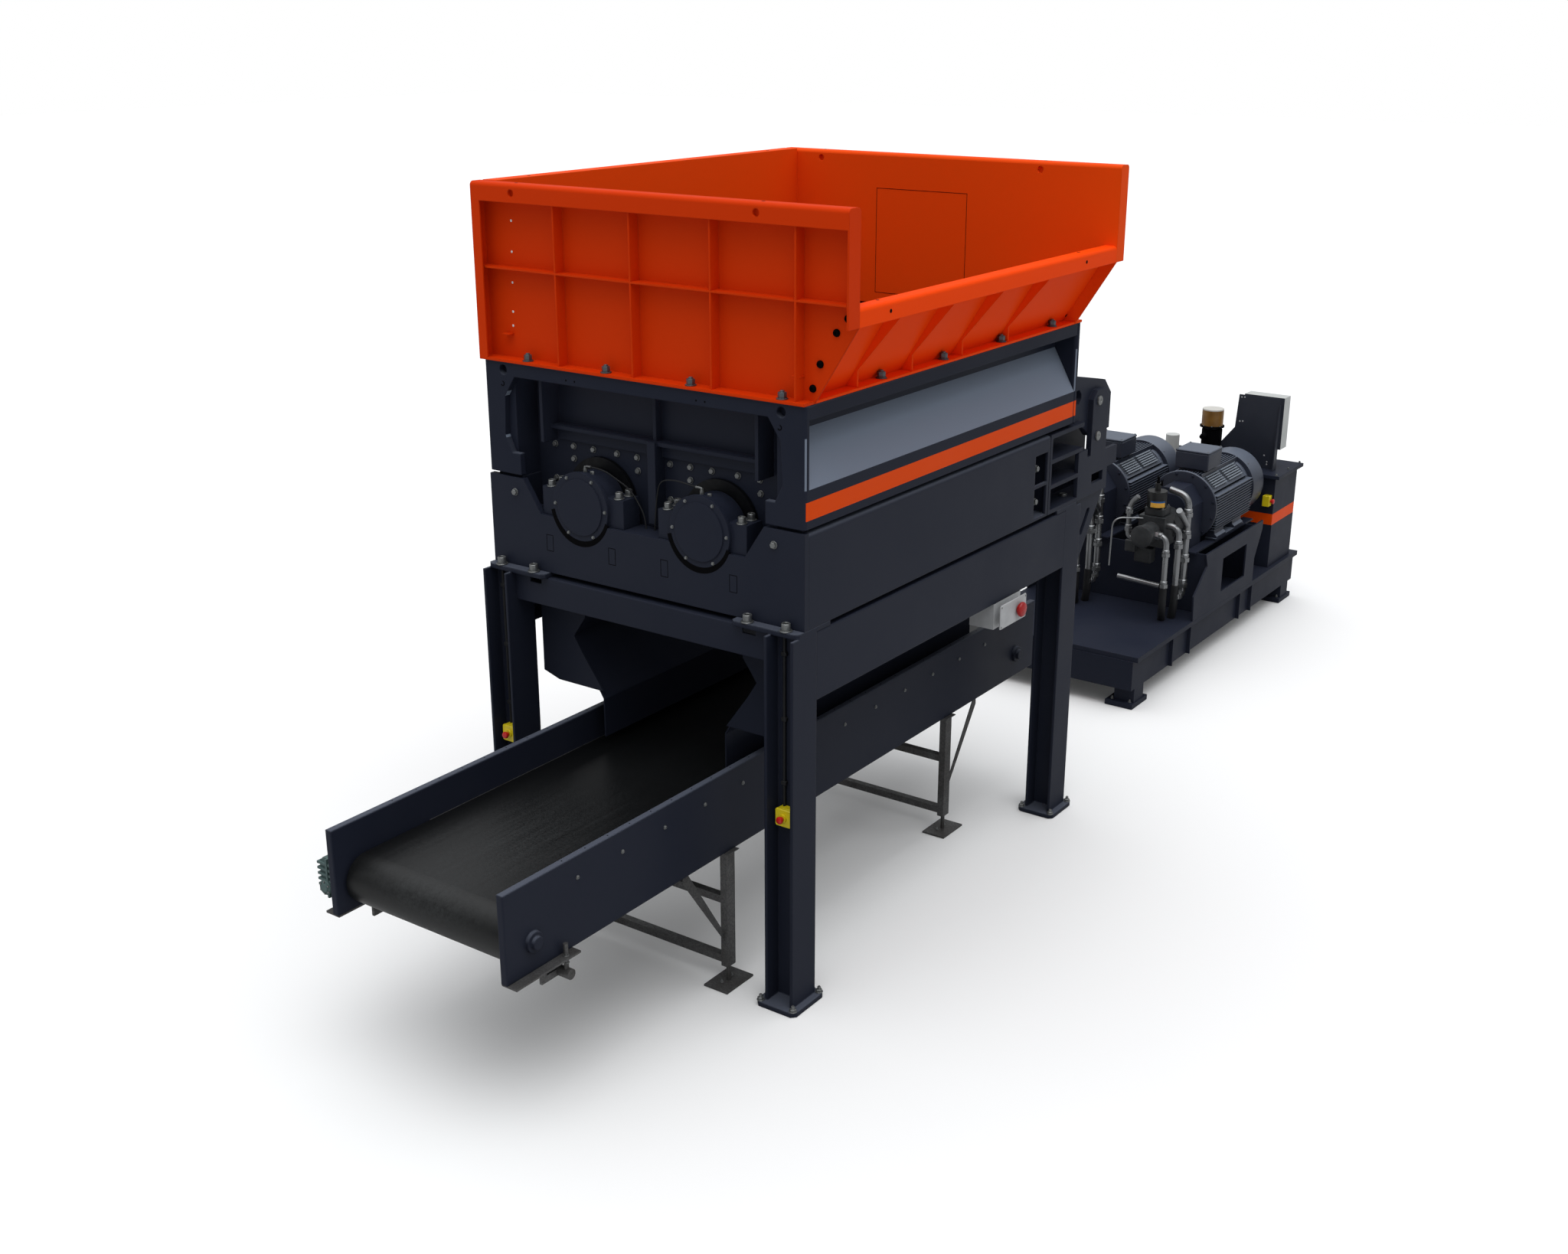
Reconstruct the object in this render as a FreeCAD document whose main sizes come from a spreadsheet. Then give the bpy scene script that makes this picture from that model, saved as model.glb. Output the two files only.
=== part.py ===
import FreeCAD, Part
import os
import re
import Sketcher

# Industrial pre-shredder with its discharge conveyor and hydraulic power pack.
# Millimetres, +Z up, origin on the floor at the middle of the four frame legs.
# The bearing end looks along -Y, the power pack stands at +Y, the loading side is +X.

SIZES = {
    # supporting frame: four H-section legs tied by side and cross beams
    "frame_half_wide": 1193,
    "frame_half_long": 1791,
    "frame_top": 2400,
    "leg_wide": 200,
    "leg_deep": 240,
    "leg_flange": 18,
    "leg_web": 12,
    "foot_plate": 30,
    "foot_margin": 45,
    "foot_chamfer": 28,
    "anchor_radius": 13,
    "anchor_inset": 26,
    "head_plate": 30,
    "head_setback": 45,
    "head_reach": 470,
    "head_run": 330,
    "side_beam_tall": 422,
    "side_beam_deep": 95,
    "cross_beam_tall": 185,
    "cross_beam_deep": 110,
    "cross_beam_setback": 88,
    "beam_wall": 12,
    "beam_round": 26,
    "notch_wide": 95,
    "notch_tall": 48,
    "notch_in": 120,
    # lower block: welded box that carries the cutting chamber and its bearings
    "block_set_front": 113,
    "block_set_rear": 173,
    "split_rise": 570,
    "end_plate": 40,
    "bay_top_out": 459,
    "bay_low_out": 324,
    "bay_drop": 204,
    "bay_floor_plate": 30,
    "side_wall": 20,
    "side_box": 214,
    "block_round": 24,
    "panel_set": 356,
    "window_long": 174,
    "window_in": 32,
    "window_drop": 112,
    "window_bar": 22,
    # cutting chamber end walls and the ribs that stiffen them
    "end_wall": 50,
    "bay_deep": 228,
    "rib_wall": 24,
    "side_rib": 810,
    "side_rib_deep": 150,
    "side_rib_rise": 340,
    "centre_rib_deep": 95,
    "centre_rib_wide": 60,
    "centre_rib_lift": 34,
    "rail_drop": 384,
    "rail_deep": 75,
    # rotors, their bearings and the fixed cutting table between them
    "rotor_offset": 455,
    "bearing_seat": 94,
    "shaft_radius": 150,
    "journal_radius": 100,
    "journal_play": 0.5,
    "wall_play": 12,
    "seal_disc_radius": 270,
    "seal_disc": 24,
    "seal_gap": 6,
    "disc_count": 7,
    "disc_pitch": 370,
    "disc_thick": 110,
    "disc_hub": 285,
    "disc_claw": 385,
    "table_half_wide": 52,
    "table_deep": 300,
    "table_rise": 90,
    "tooth_thick": 120,
    "tooth_reach": 120,
    "bearing_radius": 205,
    "cover_radius": 218,
    "cover": 26,
    "cover_dish": 175,
    "cover_lift": 8,
    "bearing_gap": 18,
    "ear_half": 322,
    "ear_rise": 84,
    "ear_front": 25,
    "ear_deep": 150,
    # upper block: pressed side skins between two cut-out end frames
    "block_rise": 1284,
    "skin_gap": 21,
    "step_in": 44,
    "ledge_rise": 221,
    "slope_drop": 177,
    "slope_deep": 164,
    "beam_tall": 82,
    "mouth_post": 267,
    "hook_post": 201,
    "hook_rise": 134,
    "slim_post": 150,
    "hook_slope": 104,
    "mouth_slope": 125,
    "top_post": 248,
    "mouth_beam": 85,
    "lift_hole": 30,
    "lift_hole_in": 159,
    "lift_hole_drop": 48,
    # drive end: torque brackets and the hydraulic motors of the two rotors
    "bracket_gap": 8,
    "shelf_reach": 155,
    "backing_rise": 90,
    "plate_lead": 96,
    "plate_reach": 572,
    "plate_rise": 353,
    "step_rise": 160,
    "shoulder_reach": 722,
    "shoulder_rise": 295,
    "eye_lead": 322,
    "eye_long": 180,
    "eye_low": 78,
    "eye_tall": 72,
    "link_lead": 285,
    "link_gap": 50,
    "link_wide": 245,
    "link_low": 180,
    "link_top": 757,
    "link_thick": 40,
    "link_round": 60,
    "bracket_wall": 30,
    "arm_thick": 45,
    "arm_low": 430,
    "arm_top": 800,
    "arm_reach": 650,
    "arm_slot": 690,
    "gusset_tall": 560,
    "motor_radius": 195,
    "motor_long": 420,
    # hopper: four stiffened walls with a box rim, the loading side lower and sloped
    "hopper_rise": 1056,
    "hopper_out_left": 21,
    "hopper_out_front": 12,
    "hopper_out_rear": 22,
    "load_out": 276,
    "hopper_sheet": 10,
    "rim_wide": 110,
    "rim_round": 26,
    "corner_face": 67,
    "load_rise": 541,
    "load_rim_tall": 107,
    "flange_wide": 105,
    "flange_thick": 16,
    "hopper_rib": 12,
    "hopper_rib_deep": 78,
    "rib_end": 75,
    "mid_rib_lift": 10,
    "rim_hole": 22,
    # discharge chute below the cutting chamber
    "chute_set_front": 301,
    "chute_set_rear": 291,
    "chute_sheet": 10,
    "chute_top_out": 140,
    "shoulder_drop": 330,
    "chute_wide_out": 240,
    "wide_drop": 470,
    "throat_in": 120,
    "throat_rise": 320,
    "chute_gap": 60,
    "guard_rise": 370,
    # discharge conveyor
    "belt_side": 26,
    "panel_thick": 45,
    "panel_drop": 325,
    "panel_rise": 200,
    "panel_nose": 206,
    "panel_tail": 279,
    "belt_half": 600,
    "belt_thick": 12,
    "belt_top": 1230,
    "belt_radius": 150,
    "head_drum": 3418,
    "tail_drum": 1901,
    "drum_play": 0.4,
    "hub_radius": 60,
    "hub_out": 22,
    "bed_thick": 18,
    "bed_start": 518,
    "tie_tall": 60,
    "tie_count": 5,
    "support_front": 1710,
    "support_rear": 900,
    "post_step": 9,
    "post_wide": 50,
    "post_deep": 80,
    "post_low": 120,
    "post_wall": 6,
    "pad_wide": 180,
    "pad_deep": 270,
    "pad_thick": 12,
    "screw_radius": 14,
    "tie_bar": 50,
    "low_tie": 135,
    "high_tie": 545,
    "brace_run": 430,
    "brace_bottom": 300,
    "gear_lead": 142,
    "tension_front": 3618,
    "tension_rear": 3120,
    "tension_line": 3206,
    "tension_out": 62,
    "tension_thick": 12,
    "tension_drop": 105,
    "gear_drop": 270,
    "gear_tall": 240,
    "drive_reach": 150,
    "drive_long": 300,
    "gear_long": 260,
    "gear_slope": 60,
    "gear_rib": 14,
    "gear_rib_pitch": 34,
    "gear_rib_out": 12,
    "drive_radius": 62,
    # controls on the frame
    "box_front": 550,
    "box_rear": 920,
    "box_tall": 178,
    "box_wide": 183,
    "stop_height": 1250,
    "stop_box": 110,
    "stop_deep": 70,
    "button_radius": 38,
    "button_long": 45,
    # power pack on its own base frame
    "pack_half": 800,
    "pack_front": 3830,
    "pack_long": 3870,
    "pack_low": 90,
    "pack_deck": 484,
    "pack_deck_lip": 44,
    "pack_lip": 40,
    "pack_sheet": 16,
    "pad_inset": 245,
    "pad_step": 10,
    "pack_pad_long": 310,
    "pack_pad_thick": 45,
    "cheek_lead": 249,
    "cheek_back": 70,
    "case_clear": 44,
    "cheek_reach": 85,
    "cheek_half": 236,
    "cheek_dip": 118,
    "cheek_tall": 578,
    "cheek_in": 60,
    "window_lead": 378,
    "cheek_window_long": 581,
    "cheek_sill": 116,
    "cheek_head": 142,
    "engine_offset": 430,
    "shaft_height": 313,
    "engine_long": 960,
    "engine_flange": 28,
    "engine_flange_radius": 330,
    "engine_radius": 265,
    "cowl_long": 300,
    "cowl_radius": 318,
    "cowl_clear": 140,
    "fin_count": 10,
    "fin_thick": 8,
    "fin_deep": 42,
    "engine_foot_out": 254,
    "terminal_lead": 140,
    "terminal_long": 330,
    "terminal_half": 165,
    "terminal_rise": 495,
    "gear_case_long": 260,
    "gear_case_half": 200,
    "case_drop": 435,
    "case_rise": 225,
    "pump_long": 600,
    "pump_radius": 125,
    "pump_drop": 85,
    "bottle_radius": 88,
    "bottle_rise": 345,
    "tank_long": 600,
    "tank_set": 140,
    "tank_tall": 910,
    "lid_thick": 32,
    "lid_out": 50,
    "filter_out": 35,
    "filter_set_in": 190,
    "filter_radius": 105,
    "filter_foot": 75,
    "filter_foot_tall": 160,
    "filter_neck_tall": 350,
    "filter_bowl_tall": 180,
    "breather_out": 370,
    "breather_radius": 68,
    "breather_tall": 215,
    "cabinet_clear": 85,
    "cabinet_out": 720,
    "cabinet_tall": 704,
    "case_lift": 204,
}

# Sizes that follow from others, so that the pieces keep together when one of them changes.
FOLLOWS = {
    "block_half_wide": "frame_half_wide",
    "block_front": "frame_half_long - block_set_front",
    "block_rear": "frame_half_long - block_set_rear",
    "split_height": "frame_top + split_rise",
    "block_top": "frame_top + block_rise",
    "bay_floor": "split_height - bay_drop",
    "bay_half_top": "rotor_offset + bay_top_out",
    "bay_half_low": "rotor_offset + bay_low_out",
    "side_panel_rear": "block_rear - panel_set",
    "window_rear": "side_panel_rear - window_in",
    "window_front": "window_rear - window_long",
    "window_low": "frame_top + side_wall",
    "window_high": "split_height - window_drop",
    "rotor_height": "bay_floor + bearing_seat",
    "side_rib_low": "rotor_height + side_rib_rise",
    "centre_rib_low": "bay_floor + centre_rib_lift",
    "rail_height": "block_top - rail_drop",
    "table_low": "rotor_height - table_deep",
    "table_top": "rotor_height + table_rise",
    "ear_top": "rotor_height + ear_rise",
    "skin_low": "split_height + skin_gap",
    "skin_step": "block_half_wide - step_in",
    "ledge_height": "skin_low + ledge_rise",
    "slope_top": "block_top - slope_drop",
    "slope_in": "block_half_wide - slope_deep",
    "beam_low": "block_top - beam_tall",
    "mouth_low": "block_half_wide - mouth_post",
    "mouth_hook": "block_half_wide - hook_post",
    "mouth_hook_height": "skin_low + hook_rise",
    "mouth_wide": "block_half_wide - slim_post",
    "mouth_wide_low": "mouth_hook_height + hook_slope",
    "mouth_top": "block_half_wide - top_post",
    "mouth_top_height": "block_top - mouth_beam",
    "mouth_wide_high": "mouth_top_height - mouth_slope",
    "lift_hole_out": "block_half_wide - lift_hole_in",
    "lift_hole_height": "block_top - lift_hole_drop",
    "hopper_top": "block_top + hopper_rise",
    "hopper_left": "block_half_wide + hopper_out_left",
    "hopper_right_low": "block_half_wide",
    "hopper_right_top": "block_half_wide + load_out",
    "hopper_front": "block_front + hopper_out_front",
    "hopper_rear": "block_rear + hopper_out_rear",
    "load_rim_top": "block_top + load_rise",
    "load_rim_low": "load_rim_top - load_rim_tall",
    "hopper_mid_rib": "load_rim_top + mid_rib_lift",
    "hopper_rib_pitch": "(hopper_left + hopper_right_low - rib_end) / 4.1",
    "hopper_rib_first": "hopper_right_low - rib_end - 3 * hopper_rib_pitch",
    "load_rib_pitch": "(hopper_front + hopper_rear) * 0.1757",
    "load_rib_first": "load_rib_pitch * 0.93 - hopper_front",
    "panel_half": "belt_half + belt_side + panel_thick",
    "panel_low": "belt_top - panel_drop",
    "panel_high": "belt_top + panel_rise",
    "panel_front": "head_drum + panel_nose",
    "panel_rear": "tail_drum + panel_tail",
    "bed_run": "head_drum - bed_start",
    "post_out": "panel_half + post_step",
    "gear_front": "head_drum + gear_lead",
    "gear_low": "belt_top - gear_drop",
    "gear_high": "gear_low + gear_tall",
    "drive_out": "panel_half + drive_reach",
    "chute_front": "frame_half_long - chute_set_front",
    "chute_rear": "frame_half_long - chute_set_rear",
    "chute_throat_half": "belt_half - throat_in",
    "chute_top_half": "chute_throat_half + chute_top_out",
    "chute_wide_half": "chute_throat_half + chute_wide_out",
    "chute_shoulder": "frame_top - shoulder_drop",
    "chute_wide": "frame_top - wide_drop",
    "chute_throat": "belt_top + throat_rise",
    "chute_low": "belt_top + chute_gap",
    "guard_low": "belt_top + guard_rise",
    "box_low": "frame_top - head_plate - side_beam_tall - box_tall",
    "box_out": "frame_half_wide",
    "box_in": "frame_half_wide - box_wide",
    "pack_rear": "pack_front + pack_long",
    "pack_lip_out": "pack_half + pack_lip",
    "pad_in": "pack_half - pad_inset",
    "pack_pad_out": "pack_half + pad_step",
    "tank_rear": "pack_rear - tank_set",
    "tank_front": "tank_rear - tank_long",
    "tank_half": "pack_half",
    "tank_high": "pack_deck + tank_tall",
    "cowl_rear": "tank_front - cowl_clear",
    "engine_rear": "cowl_rear - cowl_long",
    "engine_flange_front": "engine_rear - engine_long",
    "cheek_top": "pack_deck + cheek_tall",
    "engine_height": "cheek_top + shaft_height",
    "terminal_front": "engine_flange_front + terminal_lead",
    "terminal_high": "engine_height + terminal_rise",
    "gear_case_front": "engine_flange_front - gear_case_long",
    "gear_case_low": "engine_height - case_drop",
    "gear_case_high": "engine_height + case_rise",
    "pump_front": "gear_case_front - pump_long",
    "bottle_high": "engine_height + bottle_rise",
    "cheek_rise_front": "gear_case_front - case_clear",
    "cheek_front": "cheek_rise_front - cheek_lead",
    "cheek_rear": "engine_rear - cheek_back",
    "cheek_rise_rear": "engine_rear + cheek_reach",
    "cheek_mid": "pack_deck + cheek_half",
    "cheek_shoulder": "cheek_top - cheek_dip",
    "cheek_window_front": "cheek_rise_front + window_lead",
    "cheek_window_rear": "cheek_window_front + cheek_window_long",
    "cheek_window_low": "pack_deck + cheek_sill",
    "cheek_window_high": "cheek_top - cheek_head",
    "filter_line": "tank_front + filter_set_in",
    "cabinet_line": "filter_line",
    "cabinet_in": "filter_out + cabinet_clear",
    "cabinet_high": "tank_high + lid_thick + cabinet_tall",
}

doc = FreeCAD.newDocument("pre_shredder")
sheet = doc.addObject("Spreadsheet::Sheet", "dims")
for row, name in enumerate([*SIZES, *FOLLOWS], 1):
    sheet.set(f"A{row}", name)
    sheet.setAlias(f"B{row}", name)
for row, name in enumerate([*SIZES, *FOLLOWS], 1):
    sheet.set(f"B{row}", str(SIZES[name]) if name in SIZES else f"={FOLLOWS[name]}")
doc.recompute()

PIECES = []
PLANES = {"XY": "XY_Plane", "XZ": "XZ_Plane", "YZ": "YZ_Plane"}
AXES = {"x": FreeCAD.Vector(1, 0, 0), "y": FreeCAD.Vector(0, 1, 0), "z": FreeCAD.Vector(0, 0, 1)}
TURNS = {
    "x": FreeCAD.Rotation(AXES["y"], 90),
    "y": FreeCAD.Rotation(AXES["x"], -90),
    "z": FreeCAD.Rotation(),
}


def tied(rule):
    """The rule with every size's name pointed at its cell."""
    def cell(word):
        name = word.group()
        return f"dims.{name}" if name in SIZES or name in FOLLOWS else name

    return re.sub(r"[a-z][a-z_]+", cell, rule)


def bind(thing, prop, rule):
    """One property follows one rule over the sheet."""
    thing.setExpression(prop, tied(rule))


def place(thing, at):
    """The thing's base point follows three rules."""
    for axis, rule in zip("xyz", at):
        bind(thing, f"Placement.Base.{axis}", rule)


def piece(thing, label):
    """Names a finished sub-part and keeps it for writing."""
    thing.Label = label
    PIECES.append(thing)
    return thing


def drawn(body, name, plane, corners=(), circles=()):
    """A sketch on one of the body's own planes, every point tied to the sheet."""
    sketch = body.newObject("Sketcher::SketchObject", name)
    flat = [item for item in body.Origin.OriginFeatures if item.Role == PLANES[plane]][0]
    sketch.AttachmentSupport = [(flat, "")]
    sketch.MapMode = "FlatFace"
    count = len(corners)
    spots = [FreeCAD.Vector(10 * (i + 1), 7 * (i + 1) ** 2, 0) for i in range(count)]
    for i in range(count):
        sketch.addGeometry(Part.LineSegment(spots[i], spots[(i + 1) % count]), False)
    for i in range(count):
        sketch.addConstraint(Sketcher.Constraint("Coincident", i, 2, (i + 1) % count, 1))
    for i, corner in enumerate(corners):
        hold(sketch, i, 1, corner, spots[i])
    for i, (across, along, radius) in enumerate(circles):
        spot = FreeCAD.Vector(40 * (i + 1), 30, 0)
        edge = sketch.addGeometry(Part.Circle(spot, AXES["z"], 5), False)
        hold(sketch, edge, 3, (across, along), spot)
        index = sketch.addConstraint(Sketcher.Constraint("Radius", edge, 5))
        bind(sketch, f"Constraints[{index}]", radius)
    return sketch


def hold(sketch, edge, end, corner, spot):
    """Ties one point of a sketch to the sheet."""
    across = sketch.addConstraint(Sketcher.Constraint("DistanceX", -1, 1, edge, end, spot.x))
    bind(sketch, f"Constraints[{across}]", corner[0])
    along = sketch.addConstraint(Sketcher.Constraint("DistanceY", -1, 1, edge, end, spot.y))
    bind(sketch, f"Constraints[{along}]", corner[1])


def prism(name, plane, corners, depth, at=("0", "0", "0")):
    """A body padded from its outline: XZ grows along +Y, YZ along +X, XY along +Z."""
    body = doc.addObject("PartDesign::Body", name)
    sketch = drawn(body, f"{name}_outline", plane, corners)
    pad = body.newObject("PartDesign::Pad", f"{name}_pad")
    pad.Profile = sketch
    pad.Reversed = plane == "XZ"
    bind(pad, "Length", depth)
    place(body, at)
    return body


def pierced(body, plane, corners=(), circles=(), depth=None):
    """Cuts an outline or round holes through the body, or to a depth from the sketch."""
    name = f"{body.Name}_cut{len(body.Group)}"
    sketch = drawn(body, f"{name}_outline", plane, corners, circles)
    pocket = body.newObject("PartDesign::Pocket", name)
    pocket.Profile = sketch
    pocket.Reversed = plane != "XZ"
    if depth is None:
        pocket.Type = "ThroughAll"
    else:
        bind(pocket, "Length", depth)
    return body


def edges_on(shape, axis, *sides):
    """Names of the straight edges along an axis that lie on the given sides of the shape."""
    box = shape.BoundBox
    limits = {
        "x-": box.XMin, "x+": box.XMax,
        "y-": box.YMin, "y+": box.YMax,
        "z-": box.ZMin, "z+": box.ZMax,
    }
    names = []
    for number, edge in enumerate(shape.Edges, 1):
        if edge.Curve.TypeId != "Part::GeomLine":
            continue
        if abs(edge.tangentAt(edge.FirstParameter).dot(AXES[axis])) < 0.999:
            continue
        middle = edge.CenterOfMass
        if all(abs(getattr(middle, side[0]) - limits[side]) < 0.01 for side in sides):
            names.append(f"Edge{number}")
    return names


def eased(body, radius, picks, kind="Fillet"):
    """Rounds or chamfers picked outer edges of a body."""
    doc.recompute()
    names = []
    shape = body.Tip.Shape
    for axis, *sides in picks:
        names += edges_on(shape, axis, *sides)
    feature = body.newObject(f"PartDesign::{kind}", f"{body.Name}_{kind.lower()}")
    feature.Base = (body.Group[-2], names)
    bind(feature, "Radius" if kind == "Fillet" else "Size", radius)
    return body


def box(name, across, along, up):
    """A block between low and high rules on each axis."""
    thing = doc.addObject("Part::Box", name)
    for prop, (low, high) in zip(("Length", "Width", "Height"), (across, along, up)):
        bind(thing, prop, f"({high}) - ({low})")
    place(thing, (across[0], along[0], up[0]))
    return thing


def rod(name, axis, at, radius, length):
    """A cylinder that starts at a point and runs along an axis."""
    thing = doc.addObject("Part::Cylinder", name)
    thing.Placement = FreeCAD.Placement(FreeCAD.Vector(), TURNS[axis])
    bind(thing, "Radius", radius)
    bind(thing, "Height", length)
    place(thing, at)
    return thing


def fused(name, parts):
    """One solid from parts that touch or overlap."""
    thing = doc.addObject("Part::MultiFuse", name)
    thing.Shapes = parts
    thing.Refine = True
    return thing


def less(name, base, tools):
    """A part with tools taken out of it."""
    for number, tool in enumerate(tools):
        cut = doc.addObject("Part::Cut", f"{name}_{number}" if number < len(tools) - 1 else name)
        cut.Base = base
        cut.Tool = tool
        cut.Refine = True
        base = cut
    return base


def group(name, parts):
    """Like parts of one sub-part that don't touch."""
    thing = doc.addObject("Part::Compound", name)
    thing.Links = parts
    return thing


def mirrored(name, source, axis):
    """The same part on the other side of the machine's middle plane."""
    thing = doc.addObject("Part::Mirroring", name)
    thing.Source = source
    thing.Normal = AXES[axis]
    return thing


# Legs: H-section with a chamfered base plate on four anchors and a plate at the head.
def leg(name, rear):
    sign = "" if rear else "-"
    middle = f"{sign}(frame_half_long - leg_deep / 2)"
    flange = "leg_wide / 2 - leg_flange"
    corners = []
    for ends in ((-1, -1), (1, 1)):
        side = "-" if ends[0] < 0 else ""
        other = "" if ends[0] < 0 else "-"
        corners += [
            (f"{side}leg_wide / 2", f"{other}leg_deep / 2"),
            (f"{side}leg_wide / 2", f"{side}leg_deep / 2"),
            (f"{side}({flange})", f"{side}leg_deep / 2"),
            (f"{side}({flange})", f"{side}leg_web / 2"),
            (f"{other}({flange})", f"{side}leg_web / 2"),
            (f"{other}({flange})", f"{side}leg_deep / 2"),
        ]
    at = ("frame_half_wide - leg_wide / 2", middle, "foot_plate")
    post = prism(f"{name}_post", "XY", corners, "frame_top - head_plate - foot_plate", at)
    half_x = "(leg_wide / 2 + foot_margin)"
    half_y = "(leg_deep / 2 + foot_margin)"
    plate = prism(f"{name}_foot", "XY", [
        (f"-{half_x}", f"-{half_y}"), (half_x, f"-{half_y}"), (half_x, half_y), (f"-{half_x}", half_y),
    ], "foot_plate", (at[0], middle, "0"))
    holes = []
    for x_sign in "-+":
        for y_sign in "-+":
            holes.append((f"{x_sign}({half_x} - anchor_inset)", f"{y_sign}({half_y} - anchor_inset)",
                          "anchor_radius"))
    pierced(plate, "XY", circles=holes)
    eased(plate, "foot_chamfer", [
        ("z", "x-", "y-"), ("z", "x-", "y+"), ("z", "x+", "y-"), ("z", "x+", "y+"),
    ], "Chamfer")
    near = f"{sign}(frame_half_long - head_setback)"
    far = f"{sign}(frame_half_long - head_setback - head_run)"
    low, high = (far, near) if rear else (near, far)
    head = prism(f"{name}_head", "XY", [
        ("-head_reach", "0"), ("0", "0"), ("0", f"({high}) - ({low})"),
        ("-head_reach", f"({high}) - ({low})"),
    ], "head_plate", ("frame_half_wide", low, "frame_top - head_plate"))
    eased(head, "head_setback / 2",
          [("z", "x-", "y+" if rear else "y-"), ("z", "x+", "y+" if rear else "y-")],
          "Chamfer")
    return fused(f"{name}_weldment", [post, plate, head])


front_leg = leg("front_leg", False)
rear_leg = leg("rear_leg", True)
piece(front_leg, "leg_front_right")
piece(mirrored("front_leg_twin", front_leg, "x"), "leg_front_left")
piece(rear_leg, "leg_rear_right")
piece(mirrored("rear_leg_twin", rear_leg, "x"), "leg_rear_left")


# Beams: pressed channels with rounded upper edges, open towards the middle of the frame.
def side_beam():
    top = "(frame_top - head_plate)"
    low = "(frame_top - head_plate - side_beam_tall)"
    inner = "(frame_half_wide - side_beam_deep)"
    web = "(frame_half_wide - beam_wall)"
    beam = prism("side_beam", "XZ", [
        (inner, low), ("frame_half_wide", low), ("frame_half_wide", top), (inner, top),
        (inner, f"{top} - beam_wall"), (web, f"{top} - beam_wall"), (web, f"{low} + beam_wall"),
        (inner, f"{low} + beam_wall"),
    ], "2 * (frame_half_long - leg_deep)", ("0", "-(frame_half_long - leg_deep)", "0"))
    return eased(beam, "beam_wall - 2", [("y", "x+", "z+"), ("y", "x+", "z-")])


def cross_beam():
    outer = "(-(frame_half_long - cross_beam_setback))"
    inner = f"({outer} + cross_beam_deep)"
    top = "(frame_top - head_plate)"
    low = f"({top} - cross_beam_tall)"
    span = "(frame_half_wide - leg_wide)"
    beam = prism("cross_beam", "YZ", [
        (outer, low), (f"{outer} + beam_wall", low), (f"{outer} + beam_wall", f"{top} - beam_wall"),
        (inner, f"{top} - beam_wall"), (inner, top), (outer, top),
    ], f"2 * {span}", (f"-{span}", "0", "0"))
    eased(beam, "beam_wall - 2", [("x", "y-", "z+")])
    notches = []
    for side in "-+":
        near = f"{side}({span} - notch_in)"
        far = f"{side}({span} - notch_in - notch_wide)"
        low_end, high_end = (near, far) if side == "-" else (far, near)
        notches.append(box(f"notch_{len(notches)}", (low_end, high_end),
                           (f"{outer} - 5", f"{outer} + beam_wall + 40"),
                           (f"{top} - notch_tall", f"{top} + 5")))
    return less("cross_beam_notched", beam, notches)


side = side_beam()
piece(side, "frame_beam_right")
piece(mirrored("side_beam_twin", side, "x"), "frame_beam_left")
front_beam = cross_beam()
piece(group("cross_beams", [front_beam, mirrored("cross_beam_twin", front_beam, "y")]), "frame_cross_beams")


# Lower block: end plates with a bay for the bearings, and box sides.
def bearing_bay(name, face, depth, wall_face, half):
    """End plate with the bearing bay cut into it, and the shelf that the bearings stand on."""
    plate = prism(f"{name}_plate", "XZ", [
        (f"-{half}", "frame_top"), (half, "frame_top"), (half, "split_height"),
        ("bay_half_top", "split_height"),
        ("bay_half_low", "bay_floor"), ("-bay_half_low", "bay_floor"),
        ("-bay_half_top", "split_height"), (f"-{half}", "split_height"),
    ], "end_plate", ("0", face, "0"))
    shelf = box(f"{name}_shelf",
                ("-(block_half_wide - side_box - side_wall)", "block_half_wide - side_box - side_wall"),
                depth,
                ("bay_floor - bay_floor_plate", "bay_floor"))
    whole = fused(f"{name}_joined", [plate, shelf])
    bores = []
    for side_sign in "-+":
        bores.append(rod(f"{name}_bore{len(bores)}", "y",
                         (f"{side_sign}rotor_offset", wall_face, "rotor_height"),
                         "cover_radius + 14", "bay_deep + 10"))
    return less(f"{name}_cut", whole, bores)


def lower_side():
    out = "block_half_wide"
    inner = "(block_half_wide - side_box)"
    top = "split_height - 6"
    shell = prism("lower_side_shell", "XZ", [
        (inner, "frame_top"), (out, "frame_top"), (out, top), (inner, top),
    ], "side_panel_rear + block_front - end_plate", ("0", "end_plate - block_front", "0"))
    eased(shell, "block_round", [("y", "x+", "z+")])
    hollow = box("lower_side_hollow", (f"{inner} + side_wall", f"{out} - side_wall"),
                 ("end_plate - block_front - 5", "side_panel_rear + 5"),
                 ("frame_top + side_wall", "split_height - 6 - side_wall"))
    tools = [hollow]
    middle = "(window_low + window_high) / 2"
    for low, high in (("window_low", f"{middle} - window_bar / 2"),
                      (f"{middle} + window_bar / 2", "window_high")):
        tools.append(box(f"window_{len(tools)}", (f"{out} - side_wall - 5", f"{out} + 5"),
                         ("window_front", "window_rear"), (low, high)))
    return less("lower_side", shell, tools)


front_bay = bearing_bay("front_bay", "-block_front",
                        ("-block_front", "bay_deep - seal_disc - bearing_gap - block_front"),
                        "-block_front - 5",
                        "block_half_wide")
piece(front_bay, "lower_end_front")
rear_bay = bearing_bay("rear_bay", "block_rear - end_plate",
                       ("block_rear - bay_deep + seal_disc + bearing_gap", "block_rear"),
                       "block_rear - bay_deep - 5",
                       "(block_half_wide - side_box)")
piece(rear_bay, "lower_end_rear")
lower = lower_side()
piece(lower, "lower_side_right")
piece(mirrored("lower_side_twin", lower, "x"), "lower_side_left")


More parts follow.
